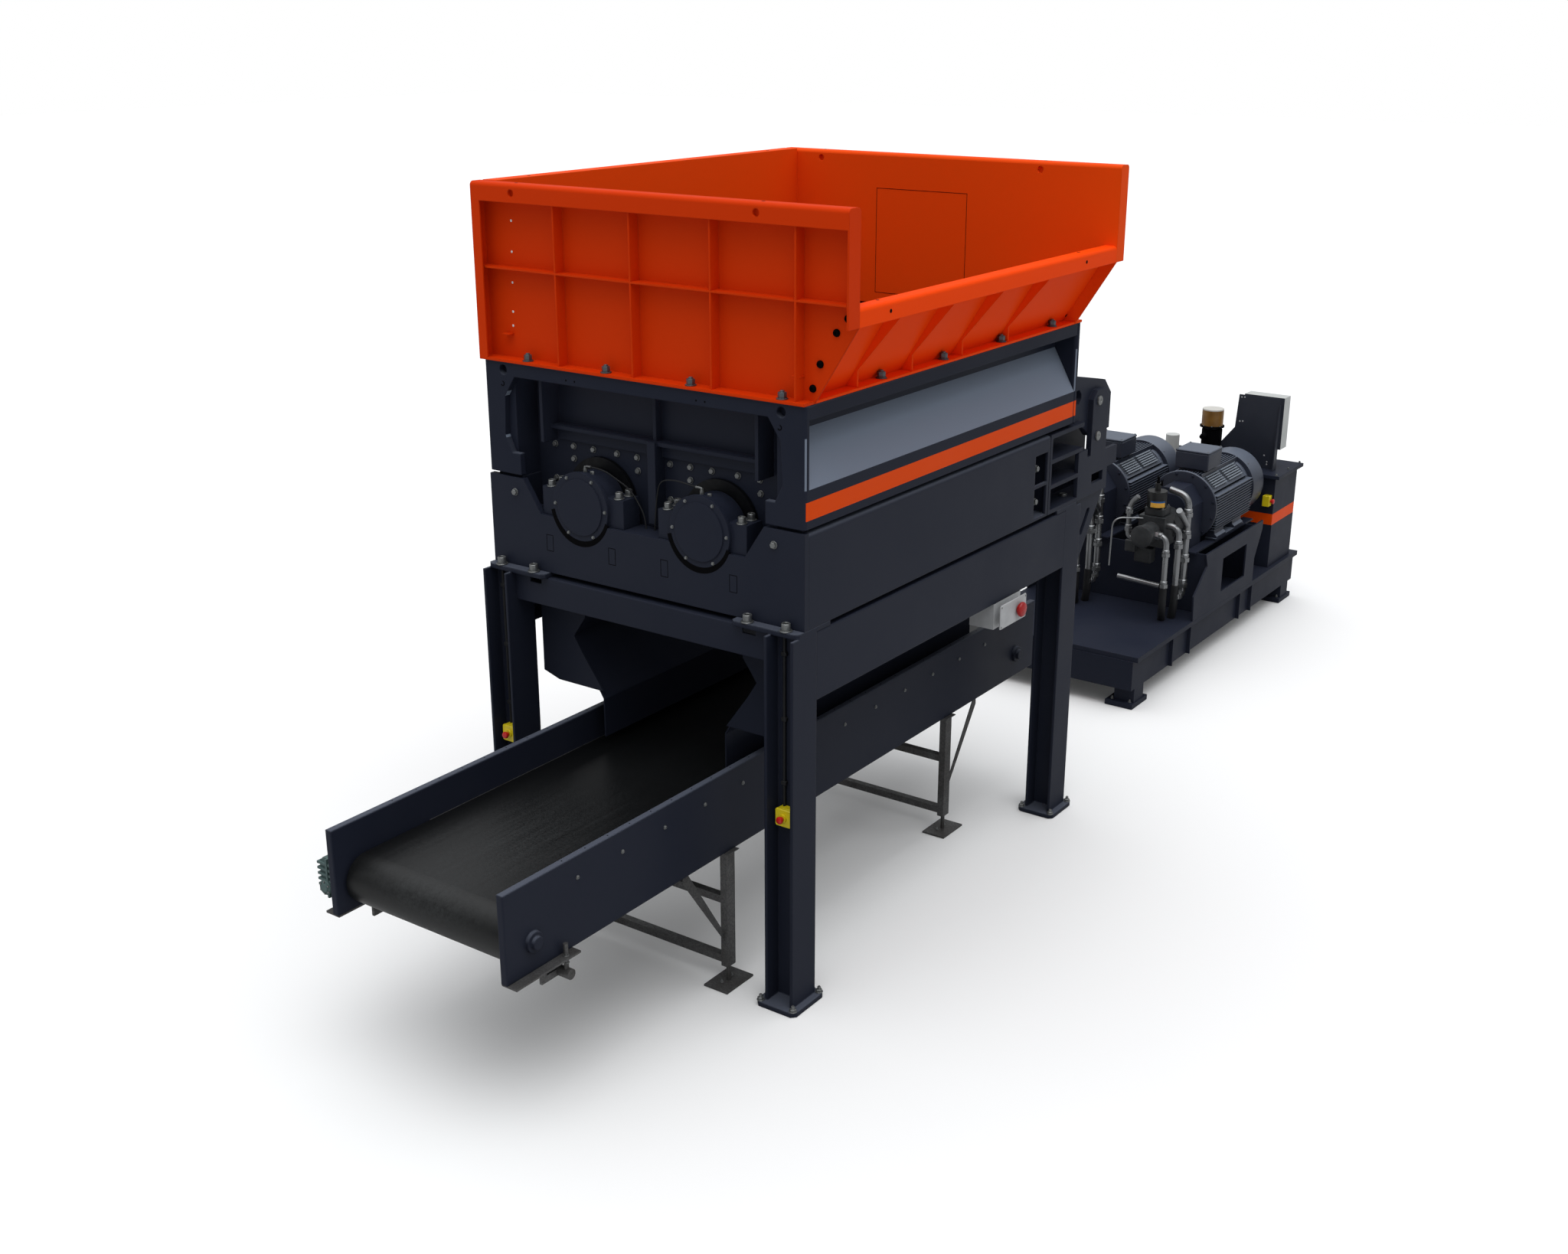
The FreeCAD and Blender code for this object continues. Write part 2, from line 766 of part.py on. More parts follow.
# End walls of the cutting chamber, with ribs and an angle rail on the outside.
def chamber_wall(name, outside, sign):
    """A wall with two shaft holes; sign - ribs towards -Y, + towards +Y."""
    inner = f"{outside} - ({sign}end_wall)"
    low, high = (outside, inner) if sign == "-" else (inner, outside)
    across = ("-(block_half_wide - side_box)", "block_half_wide - side_box")
    wall = box(f"{name}_slab", across, (low, high), ("frame_top", "block_top"))
    parts = [wall]

    def standing(label, across_rules, reach, up):
        tip = f"{outside} + ({sign}({reach}))"
        ends = (tip, outside) if sign == "-" else (outside, tip)
        parts.append(box(f"{name}_{label}", across_rules, ends, up))

    for side_sign in "-+":
        centre = f"{side_sign}side_rib"
        standing(f"rib{len(parts)}", (f"{centre} - rib_wall / 2", f"{centre} + rib_wall / 2"),
                 "side_rib_deep", ("side_rib_low", "block_top"))
    standing("centre", ("-centre_rib_wide / 2", "centre_rib_wide / 2"), "centre_rib_deep",
             ("centre_rib_low", "rail_height"))
    standing("spine", ("-rib_wall / 2", "rib_wall / 2"), "centre_rib_deep * 0.6",
             ("rail_height", "block_top"))
    rail = ("-side_rib", "side_rib")
    standing("rail", rail, "rail_deep", ("rail_height - rib_wall", "rail_height"))
    standing("lip", rail, "rib_wall", ("rail_height - rib_wall - rail_deep", "rail_height"))
    whole = fused(f"{name}_joined", parts)
    holes = []
    for side_sign in "-+":
        holes.append(rod(f"{name}_hole{len(holes)}", "y",
                         (f"{side_sign}rotor_offset", f"{low} - side_rib_deep", "rotor_height"),
                         "shaft_radius + wall_play", "end_wall + 2 * side_rib_deep"))
    return less(f"{name}_cut", whole, holes)


piece(chamber_wall("front_wall", "(bay_deep - block_front)", "-"), "chamber_wall_front")
piece(chamber_wall("rear_wall", "(block_rear - bay_deep)", ""), "chamber_wall_rear")


# Bearing housings: round pillow blocks with a bolted cover and an ear on each side.
def bearing(name, face, sign):
    """The cover's face lies at a rule; sign '' runs into +Y, '-' into -Y."""
    long = "(bay_deep - bearing_gap - seal_disc)"

    def run(start, length):
        near = f"{face} + {sign}({start})" if sign else f"{face} + {start}"
        far = f"{near} + {sign}({length})" if sign else f"{near} + {length}"
        return (far, near) if sign else (near, far)

    centre = "rotor_offset"
    spans = [
        ("cover", "cover_radius", run("0", "cover")),
        ("dish", "cover_dish", run("-cover_lift", "cover_lift + 2")),
        ("drum", "bearing_radius", run("0", long)),
    ]
    parts = []
    for label, radius, (low, high) in spans:
        parts.append(rod(f"{name}_{label}", "y", (centre, low, "rotor_height"), radius,
                         f"({high}) - ({low})"))
    ends = run("ear_front", "ear_deep")
    parts.append(box(f"{name}_ears", (f"{centre} - ear_half", f"{centre} + ear_half"), ends,
                     ("bay_floor", "ear_top")))
    whole = fused(f"{name}_joined", parts)
    low, high = run("cover + 10", long)
    journal = rod(f"{name}_seat", "y", (centre, low, "rotor_height"), "journal_radius + journal_play",
                  f"({high}) - ({low})")
    return less(f"{name}_bored", whole, [journal])


front_bearing = bearing("front_bearing", "-block_front", "")
piece(front_bearing, "bearing_front_right")
piece(mirrored("front_bearing_twin", front_bearing, "x"), "bearing_front_left")


# Drive end: a bearing like the front ones with the hydraulic motor behind it.
def drive():
    block = bearing("drive_bearing", "block_rear", "-")
    motor = rod("drive_motor", "y", ("rotor_offset", "block_rear - 2", "rotor_height"), "motor_radius",
                "motor_long + 2")
    cap = rod("drive_cap", "y", ("rotor_offset", "block_rear + motor_long", "rotor_height"),
              "motor_radius * 0.62", "motor_radius * 0.5")
    return fused("drive_joined", [block, motor, cap])


drive_unit = drive()
piece(drive_unit, "drive_motor_right")
piece(mirrored("drive_twin", drive_unit, "x"), "drive_motor_left")


# Rotors: a thick shaft with clawed cutting discs, each disc turned on from the last.
def rotor():
    body = doc.addObject("PartDesign::Body", "rotor")
    spans = [
        ("journal", "journal_radius", "-(block_front - cover - 16)", "block_rear - cover - 16"),
        ("seal_front", "seal_disc_radius", "-(block_front - bay_deep + seal_gap + seal_disc)",
         "-(block_front - bay_deep + seal_gap)"),
        ("seal_rear", "seal_disc_radius", "block_rear - bay_deep + seal_gap",
         "block_rear - bay_deep + seal_gap + seal_disc"),
    ]
    corners = []
    for number in range(8):
        corners.append((f"shaft_radius * cos({22.5 + 45 * number} deg)",
                        f"shaft_radius * sin({22.5 + 45 * number} deg)"))
    spans.append(("shaft", corners, "-(block_front - bay_deep + bearing_gap / 2)",
                  "block_rear - bay_deep + bearing_gap / 2"))
    for label, radius, low, high in spans:
        if label == "shaft":
            sketch = drawn(body, "rotor_shaft_outline", "XZ", radius)
        else:
            sketch = drawn(body, f"rotor_{label}_outline", "XZ", circles=[("0", "0", radius)])
        bind(sketch, "AttachmentOffset.Base.z", f"-({low})")
        pad = body.newObject("PartDesign::Pad", f"rotor_{label}")
        pad.Profile = sketch
        pad.Reversed = True
        bind(pad, "Length", f"({high}) - ({low})")
    start = "(block_rear - block_front) / 2 - disc_pitch * (disc_count - 1) / 2 - disc_thick / 2"
    for number in range(int(SIZES["disc_count"])):
        corners = []
        for claw in range(3):
            turn = claw * 120 + number * 25
            for radius, lead in (("disc_hub", -50), ("disc_hub * 1.06", -14), ("disc_claw", 4),
                                 ("disc_claw * 0.97", 16),
                                 ("disc_hub * 1.02", 22)):
                angle = turn + lead
                corners.append((f"{radius} * cos({angle} deg)", f"{radius} * sin({angle} deg)"))
        sketch = drawn(body, f"disc_{number}_outline", "XZ", corners)
        bind(sketch, "AttachmentOffset.Base.z", f"-({start} + disc_pitch * {number})")
        pad = body.newObject("PartDesign::Pad", f"disc_{number}")
        pad.Profile = sketch
        pad.Reversed = True
        bind(pad, "Length", "disc_thick")
    place(body, ("rotor_offset", "0", "rotor_height"))
    return body


right_rotor = rotor()
piece(right_rotor, "rotor_right")
piece(mirrored("rotor_twin", right_rotor, "x"), "rotor_left")


# Cutting table: a fixed bar between the rotors whose teeth stand between their discs.
def cutting_table():
    bar = box("table_bar", ("-table_half_wide", "table_half_wide"),
              ("end_wall + bay_deep - block_front", "block_rear - bay_deep - end_wall"),
              ("table_low", "table_top"))
    parts = [bar]
    middle = "(block_rear - block_front) / 2"
    for number in range(int(SIZES["disc_count"]) - 1):
        centre = f"({middle} + disc_pitch * ({number} + 1 - disc_count / 2))"
        parts.append(prism(f"tooth_{number}", "XZ", [
            ("-tooth_reach", "rotor_height"), ("0", "rotor_height - tooth_reach"),
            ("tooth_reach", "rotor_height"),
            ("table_half_wide", "table_top"), ("-table_half_wide", "table_top"),
        ], "tooth_thick", ("0", f"{centre} - tooth_thick / 2", "0")))
    return fused("table_joined", parts)


piece(cutting_table(), "cutting_table")


# Upper block: end frames with a wide mouth, and side skins with a sloped face.
def mouth_frame(name, face):
    half = [
        ("mouth_low", "skin_low"), ("mouth_low", "mouth_hook_height"), ("mouth_hook", "mouth_hook_height"),
        ("mouth_wide", "mouth_wide_low"), ("slope_in", "mouth_wide_high"),
        ("mouth_top", "mouth_top_height"),
    ]
    corners = [("block_half_wide", "block_top"), ("block_half_wide", "skin_low")] + half
    for across, up in reversed(half):
        corners.append((f"-{across}", up))
    corners += [("-block_half_wide", "skin_low"), ("-block_half_wide", "block_top")]
    frame = prism(name, "XZ", corners, "end_plate", ("0", face, "0"))
    pierced(frame, "XZ", circles=[("-lift_hole_out", "lift_hole_height", "lift_hole"),
                                  ("lift_hole_out", "lift_hole_height", "lift_hole")])
    return eased(frame, "block_round", [("z", "x-", "y-"), ("z", "x+", "y-")])


def upper_side():
    out = "block_half_wide"
    skin = prism("upper_side", "XZ", [
        ("block_half_wide - side_box", "split_height - 6"), ("skin_step", "split_height - 6"),
        ("skin_step", "skin_low"),
        (out, "skin_low"), (out, "ledge_height"), ("slope_in", "slope_top"), ("slope_in", "beam_low"),
        (out, "beam_low"), (out, "block_top"), ("block_half_wide - side_box", "block_top"),
    ], "block_front + block_rear - 2 * end_plate", ("0", "end_plate - block_front", "0"))
    return eased(skin, "beam_wall", [("y", "x+", "z+")])


piece(mouth_frame("front_mouth", "-block_front"), "upper_frame_front")
piece(mouth_frame("rear_mouth", "block_rear - end_plate"), "upper_frame_rear")
upper = upper_side()
piece(upper, "upper_side_right")
piece(mirrored("upper_side_twin", upper, "x"), "upper_side_left")


# Torque brackets: ribbed corner boxes, with a link plate that holds the upper arm.
def torque_bracket():
    out = "block_half_wide"
    inner = "(block_half_wide - side_box)"
    front = "(side_panel_rear + bracket_gap)"
    top = "(split_height - 6)"
    back = "(block_rear + plate_reach)"
    parts = []
    shelf_count = 4
    for number in range(shelf_count):
        level = f"frame_top + ({top} - frame_top - bracket_wall) * {number} / {shelf_count - 1}"
        parts.append(box(f"bracket_shelf{number}", (inner, out), (front, "block_rear + shelf_reach"),
                         (level, f"{level} + bracket_wall")))
    parts.append(box("bracket_upright", (inner, out), (front, f"{front} + bracket_wall"),
                     ("frame_top", top)))
    parts.append(box("bracket_web", (inner, f"{inner} + bracket_wall"), (front, "block_rear + shelf_reach"),
                     ("frame_top", top)))
    parts.append(box("bracket_backing", (inner, f"{inner} + bracket_wall"), ("block_rear + bracket_gap", back),
                     ("frame_top", "split_height + backing_rise")))
    parts.append(box("bracket_floor", (inner, out), ("block_rear", back),
                     ("frame_top", "frame_top + bracket_wall")))
    parts.append(box("bracket_back", (inner, out), (f"{back} - bracket_wall", back),
                     ("frame_top", "frame_top + step_rise")))
    plate = prism("bracket_plate", "YZ", [
        ("block_rear + plate_lead", "frame_top"), (back, "frame_top"), (back, "frame_top + step_rise"),
        ("block_rear + shoulder_reach", "frame_top + step_rise"),
        ("block_rear + shoulder_reach", "frame_top + shoulder_rise"),
        ("block_rear + link_lead - link_gap", "frame_top + shoulder_rise"),
        ("block_rear + link_lead - link_gap", "frame_top + plate_rise"),
        ("block_rear + plate_lead", "frame_top + plate_rise"),
    ], "bracket_wall", (f"{out} - bracket_wall", "0", "0"))
    pierced(plate, "YZ", [
        ("block_rear + eye_lead", "frame_top + eye_low"),
        ("block_rear + eye_lead + eye_long", "frame_top + eye_low"),
        ("block_rear + eye_lead + eye_long", "frame_top + eye_low + eye_tall"),
        ("block_rear + eye_lead", "frame_top + eye_low + eye_tall"),
    ])
    parts.append(plate)
    link = prism("bracket_link", "YZ", [
        ("block_rear + link_lead", "frame_top + link_low"),
        ("block_rear + link_lead + link_wide", "frame_top + link_low"),
        ("block_rear + link_lead + link_wide", "frame_top + link_top"),
        ("block_rear + link_lead", "frame_top + link_top"),
    ], "link_thick", (f"{out} - link_thick", "0", "0"))
    eased(link, "link_round", [("x", "y-", "z+"), ("x", "y+", "z+")], "Chamfer")
    parts.append(link)
    arm = prism("bracket_arm", "YZ", [
        ("block_rear", "skin_low + 10"), ("block_rear + link_lead - 40", "frame_top + arm_low + 60"),
        ("block_rear + link_lead + 30", "frame_top + arm_low"),
        ("block_rear + arm_reach", "frame_top + arm_low"),
        ("block_rear + arm_reach", "frame_top + arm_top - 110"),
        ("block_rear + arm_reach - 110", "frame_top + arm_top"),
        ("block_rear", "frame_top + arm_top + 110"),
    ], "arm_thick", (f"{out} - link_thick - arm_thick", "0", "0"))
    pierced(arm, "YZ", [
        ("block_rear + 50", "frame_top + arm_slot"), ("block_rear + 130", "frame_top + arm_slot"),
        ("block_rear + 165", "frame_top + arm_slot + 35"),
        ("block_rear + 165", "frame_top + arm_slot + 65"),
        ("block_rear + 130", "frame_top + arm_slot + 100"),
        ("block_rear + 50", "frame_top + arm_slot + 100"),
    ])
    parts.append(arm)
    gusset = prism("bracket_gusset", "YZ", [
        ("frame_half_long", "frame_top - gusset_tall"), (back, "frame_top - bracket_wall"),
        (back, "frame_top"),
        ("frame_half_long", "frame_top"),
    ], "bracket_wall", (f"{out} - 2 * bracket_wall", "0", "0"))
    pierced(gusset, "YZ", [
        ("frame_half_long + 70", "frame_top - gusset_tall / 2 - 10"),
        ("frame_half_long + 100", "frame_top - gusset_tall / 2 - 10"),
        ("frame_half_long + 210", "frame_top - gusset_tall / 4"),
        ("frame_half_long + 210", "frame_top - gusset_tall / 5"),
        ("frame_half_long + 170", "frame_top - gusset_tall / 5"),
        ("frame_half_long + 70", "frame_top - gusset_tall / 2 + 30"),
    ])
    parts.append(gusset)
    return fused("bracket_joined", parts)


bracket = torque_bracket()
piece(bracket, "drive_bracket_right")
piece(mirrored("bracket_twin", bracket, "x"), "drive_bracket_left")


# Hopper: every wall has its sheet set back behind ribs, a flange below and a rim box above.
def hopper_end(name, outer, sign):
    """Front or rear wall; sign '-' has its outside towards -Y."""
    inside = "" if sign == "-" else "-"

    def deep(start, stop):
        near = f"{outer} + {inside}({start})"
        far = f"{outer} + {inside}({stop})"
        return (near, far) if sign == "-" else (far, near)

    sheet_face = deep("rim_wide - hopper_sheet", "rim_wide")
    outline = [
        ("-hopper_left", "block_top"), ("hopper_right_low", "block_top"),
        ("hopper_right_top", "load_rim_low"), ("hopper_right_top", "hopper_top - 20"),
        ("-hopper_left", "hopper_top - 20"),
    ]
    wall = prism(f"{name}_sheet", "XZ", outline, "hopper_sheet", ("0", sheet_face[0], "0"))
    rim_ends = deep("0", "rim_wide")
    rim = prism(f"{name}_rim", "XZ", [
        ("-hopper_left", "hopper_top - rim_wide"), ("hopper_right_top", "hopper_top - rim_wide"),
        ("hopper_right_top", "hopper_top"), ("-hopper_left", "hopper_top"),
    ], "rim_wide", ("0", rim_ends[0], "0"))
    eased(rim, "rim_round", [("x", "y-", "z+"), ("x", "y+", "z+")])
    parts = [wall, rim]
    flange = deep("0", "rim_wide")
    parts.append(box(f"{name}_flange", ("-hopper_left", "hopper_right_low"), flange,
                     ("block_top", "block_top + flange_thick")))
    rib = deep("rim_wide - hopper_rib_deep - hopper_sheet", "rim_wide - hopper_sheet")
    for number in range(4):
        centre = f"hopper_rib_first + hopper_rib_pitch * {number}"
        parts.append(box(f"{name}_rib{number}",
                         (f"{centre} - hopper_rib / 2", f"{centre} + hopper_rib / 2"),
                         rib, ("block_top", "hopper_top - rim_wide")))
    parts.append(box(f"{name}_belt", ("-hopper_left", "hopper_right_top - hopper_sheet"), rib,
                     ("hopper_mid_rib", "hopper_mid_rib + hopper_rib")))
    post = deep("0", "rim_wide")
    parts.append(box(f"{name}_post", ("-hopper_left", "hopper_sheet - hopper_left"), post,
                     ("block_top", "hopper_top - 20")))
    parts.append(box(f"{name}_return", ("hopper_right_top - hopper_sheet", "hopper_right_top"), post,
                     ("load_rim_low", "hopper_top - 20")))
    parts.append(box(f"{name}_corner", ("-hopper_left", "corner_face - hopper_left"),
                     deep("0", "hopper_sheet"),
                     ("block_top", "hopper_top - rim_wide")))
    whole = fused(f"{name}_joined", parts)
    holes = []
    for across in ("-hopper_left + 325", "hopper_right_top - 590"):
        holes.append(rod(f"{name}_hole{len(holes)}", "y",
                         (across, f"{rim_ends[0]} - 1", "hopper_top - rim_wide / 2"),
                         "rim_hole", "25"))
    return less(f"{name}_drilled", whole, holes)


def hopper_closed_side():
    ends = ("rim_wide - hopper_front", "hopper_rear - rim_wide")
    out = "-hopper_left"
    wall = box("hopper_left_sheet", (f"{out} + rim_wide - hopper_sheet", f"{out} + rim_wide"), ends,
               ("block_top", "hopper_top - 20"))
    rim = box("hopper_left_rim", (out, f"{out} + rim_wide"), ends, ("hopper_top - rim_wide", "hopper_top"))
    flange = box("hopper_left_flange", (out, f"{out} + rim_wide"), ends,
                 ("block_top", "block_top + flange_thick"))
    parts = [wall, rim, flange]
    for number in range(4):
        centre = f"load_rib_first + load_rib_pitch * {number}"
        parts.append(box(f"hopper_left_rib{number}",
                         (f"{out} + rim_wide - hopper_sheet - hopper_rib_deep", f"{out} + rim_wide"),
                         (f"{centre} - hopper_rib / 2", f"{centre} + hopper_rib / 2"),
                         ("block_top", "hopper_top - rim_wide")))
    return fused("hopper_left_joined", parts)


def hopper_loading_side():
    ends = ("rim_wide - hopper_front", "hopper_rear - rim_wide")
    length = f"({ends[1]}) - ({ends[0]})"
    wall = prism("hopper_right_sheet", "XZ", [
        ("hopper_right_low - rim_wide", "block_top"),
        ("hopper_right_low - rim_wide + hopper_sheet", "block_top"),
        ("hopper_right_top - rim_wide + hopper_sheet", "load_rim_low"),
        ("hopper_right_top - rim_wide + hopper_sheet", "load_rim_top - 20"),
        ("hopper_right_top - rim_wide", "load_rim_top - 20"),
        ("hopper_right_top - rim_wide", "load_rim_low"),
    ], length, ("0", ends[0], "0"))
    rim = prism("hopper_right_rim", "XZ", [
        ("hopper_right_top - rim_wide", "load_rim_low"), ("hopper_right_top", "load_rim_low"),
        ("hopper_right_top", "load_rim_top"), ("hopper_right_top - rim_wide", "load_rim_top"),
    ], length, ("0", ends[0], "0"))
    eased(rim, "rim_round", [("y", "x+", "z+"), ("y", "x-", "z+")])
    flange = box("hopper_right_flange", ("hopper_right_low - rim_wide", "hopper_right_low"), ends,
                 ("block_top", "block_top + flange_thick"))
    parts = [wall, rim, flange]
    for number in range(4):
        centre = f"load_rib_first + load_rib_pitch * {number}"
        parts.append(prism(f"hopper_right_rib{number}", "XZ", [
            ("hopper_right_low - rim_wide", "block_top"), ("hopper_right_low - 12", "block_top"),
            ("hopper_right_low - 12", "block_top + 110"), ("hopper_right_top - 12", "load_rim_low"),
            ("hopper_right_top - rim_wide", "load_rim_low"),
        ], "hopper_rib", ("0", f"{centre} - hopper_rib / 2", "0")))
    return fused("hopper_right_joined", parts)


piece(hopper_end("hopper_near", "-hopper_front", "-"), "hopper_wall_front")
piece(hopper_end("hopper_far", "hopper_rear", ""), "hopper_wall_rear")
piece(hopper_closed_side(), "hopper_wall_left")
piece(hopper_loading_side(), "hopper_wall_right")


# Discharge chute: two cranked sheets above the belt and a front plate with their outline cut out.
def chute_sheet():
    outer = [
        ("chute_top_half", "frame_top"), ("chute_top_half", "chute_shoulder"),
        ("chute_wide_half", "chute_wide"),
        ("chute_throat_half", "chute_throat"), ("chute_throat_half", "chute_low"),
    ]
    corners = list(outer)
    for across, up in reversed(outer):
        corners.append((f"{across} + chute_sheet", up))
    return prism("chute_sheet_right", "XZ", corners, "chute_front + chute_rear", ("0", "-chute_front", "0"))


def front_guard():
    half = [
        ("chute_throat_half + chute_sheet", "guard_low"),
        ("chute_wide_half + chute_sheet", "chute_wide"), ("chute_top_half + chute_sheet", "chute_shoulder"),
        ("chute_top_half + chute_sheet", "frame_top - head_plate - cross_beam_tall"),
    ]
    corners = [("frame_half_wide - leg_wide", "frame_top - head_plate - cross_beam_tall"),
               ("frame_half_wide - leg_wide", "guard_low + 40"),
               ("frame_half_wide - leg_wide - 130", "guard_low")]
    return prism("front_guard", "XZ", half + corners, "chute_sheet", ("0", "-chute_front", "0"))


right_chute = fused("chute_right_joined", [chute_sheet(), front_guard()])
piece(group("chute_pair", [right_chute, mirrored("chute_twin", right_chute, "x")]), "discharge_chute")


# Conveyor: two deep side panels, a flat belt round two drums, a bed and two braced supports.
def conveyor_side():
    panel = prism("conveyor_panel", "YZ", [
        ("-panel_front", "panel_low"), ("panel_rear", "panel_low"), ("panel_rear", "panel_high"),
        ("-panel_front", "panel_high"),
    ], "panel_thick", ("panel_half - panel_thick", "0", "0"))
    eased(panel, "6", [("y", "x+", "z+"), ("y", "x-", "z+"), ("z", "x+", "y-"), ("z", "x-", "y-")])
    parts = [panel]
    for line in ("-head_drum", "tail_drum"):
        parts.append(rod(f"hub_{len(parts)}", "x", ("panel_half - 5", line, "belt_top - belt_radius"),
                         "hub_radius",
                         "hub_out + 5"))
        parts.append(rod(f"hub_{len(parts)}", "x", ("panel_half - 5", line, "belt_top - belt_radius"),
                         "hub_radius * 0.62", "2 * hub_out + 5"))
    return fused("conveyor_side", parts)


def loop_solid(name, radius, across):
    """A slot-shaped solid round both drum lines."""
    centre = "belt_top - belt_radius"
    start, width = across
    parts = [
        rod(f"{name}_head", "x", (start, "-head_drum", centre), radius, width),
        rod(f"{name}_tail", "x", (start, "tail_drum", centre), radius, width),
        box(f"{name}_run", (start, f"{start} + {width}"), ("-head_drum", "tail_drum"),
            (f"{centre} - ({radius})", f"{centre} + {radius}")),
    ]
    return fused(name, parts)


conveyor_panel = conveyor_side()
piece(conveyor_panel, "conveyor_side_right")
piece(mirrored("conveyor_twin", conveyor_panel, "x"), "conveyor_side_left")
belt = less("belt_loop", loop_solid("belt_outer", "belt_radius", ("-belt_half", "2 * belt_half")),
            [loop_solid("belt_inner", "belt_radius - belt_thick",
                        ("-belt_half - 5", "2 * belt_half + 10"))])
piece(belt, "conveyor_belt")
drums = []
for line in ("-head_drum", "tail_drum"):
    centre = "belt_top - belt_radius"
    drums.append(fused(f"drum_joined{len(drums)}", [
        rod(f"drum_shell{len(drums)}", "x", ("-belt_half", line, centre),
            "belt_radius - belt_thick - drum_play",
            "2 * belt_half"),
        rod(f"drum_shaft{len(drums)}", "x", ("panel_thick - panel_half", line, centre), "hub_radius * 0.6",
            "2 * (panel_half - panel_thick)"),
    ]))
piece(group("drum_pair", drums), "conveyor_drums")


def conveyor_bed():
    high = "(belt_top - belt_thick - drum_play)"
    inner = "(panel_half - panel_thick)"
    parts = [box("bed_plate", (f"-{inner}", inner), ("-bed_run", "tail_drum - belt_radius - 60"),
                 (f"{high} - bed_thick", high))]
    count = int(SIZES["tie_count"])
    for number in range(count):
        line = f"-bed_run + (bed_run + tail_drum - belt_radius - 160) * {number} / {count - 1}"
        parts.append(box(f"bed_tie{number}", (f"-{inner}", inner), (line, f"{line} + tie_tall"),
                         (f"{high} - bed_thick - tie_tall", f"{high} - bed_thick")))
    return fused("bed_joined", parts)


piece(conveyor_bed(), "conveyor_bed")


def support(name, line, toward):
    """Two posts on levelling feet, tied across and braced along the conveyor."""
    parts = []
    inner = "(post_out - post_wide)"
    for side_sign in "-+":
        ends = ("-post_out", f"-{inner}") if side_sign == "-" else (inner, "post_out")
        centre = f"{side_sign}(post_out - post_wide / 2)"
        tag = f"{name}_{len(parts)}"
        parts.append(box(f"{tag}_post", ends, (f"{line} - post_deep / 2", f"{line} + post_deep / 2"),
                         ("post_low", "panel_low - post_wall")))
        parts.append(box(f"{tag}_shoe", (f"{centre} - 45", f"{centre} + 45"),
                         (f"{line} - post_deep / 2 - 20", f"{line} + post_deep / 2 + 20"),
                         ("panel_low - post_wall", "panel_low")))
        parts.append(rod(f"{tag}_screw", "z", (centre, line, "pad_thick - 2"), "screw_radius", "post_low"))
        parts.append(box(f"{tag}_pad", (f"{centre} - pad_wide / 2", f"{centre} + pad_wide / 2"),
                         (f"{line} - pad_deep / 2", f"{line} + pad_deep / 2"), ("0", "pad_thick")))
        start = f"{line} + {toward}post_deep / 2" if toward else f"{line} + post_deep / 2"
        tip = f"{line} + {toward}(brace_run)" if toward else f"{line} + brace_run"
        brace = prism(f"{tag}_brace", "YZ", [
            (start, "brace_bottom"), (tip, "panel_low - 50"), (tip, "panel_low"),
            (f"{tip} + {'' if toward else '-'}40", "panel_low"), (start, "brace_bottom + 55"),
        ], "post_wall", (f"{centre} - post_wall / 2", "0", "0"))
        parts.append(brace)
    for low in ("low_tie", "high_tie"):
        parts.append(box(f"{name}_{low}", (f"-{inner}", inner),
                         (f"{line} - tie_bar / 2", f"{line} + tie_bar / 2"),
                         (low, f"{low} + tie_bar")))
    return fused(f"{name}_joined", parts)


supports = [support("front_support", "-support_front", "-"), support("rear_support", "support_rear", "")]
piece(group("support_pair", supports), "conveyor_supports")


# Belt tensioners: a plate under each panel's discharge end, with a screw and an eye below it.
def tensioner():
    centre = "(panel_half + tension_out / 2)"
    parts = [
        box("tension_plate", ("panel_half - panel_thick", "panel_half + tension_out"),
            ("-tension_front", "-tension_rear"),
            ("panel_low - tension_thick", "panel_low")),
        rod("tension_screw", "z", (centre, "-tension_line", "panel_low - tension_drop"), "screw_radius",
            "tension_drop + tension_drop * 0.7"),
        rod("tension_eye", "x", (f"{centre} - 60", "-tension_line", "panel_low - tension_drop"),
            "2.2 * screw_radius",
            "95"),
        box("tension_arm", (f"{centre} - 60", f"{centre} - 42"), ("-tension_line - 150", "-tension_line"),
            ("panel_low - tension_drop - 20", "panel_low - tension_drop + 20")),
        box("tension_lug", (f"{centre} - 60", f"{centre} - 42"),
            ("-tension_line - 150", "-tension_line - 110"),
            ("panel_low - tension_drop - 20", "panel_low")),
    ]
    return fused("tensioner", parts)


right_tensioner = tensioner()
piece(group("tensioner_pair", [right_tensioner, mirrored("tensioner_twin", right_tensioner, "x")]),
      "belt_tensioners")


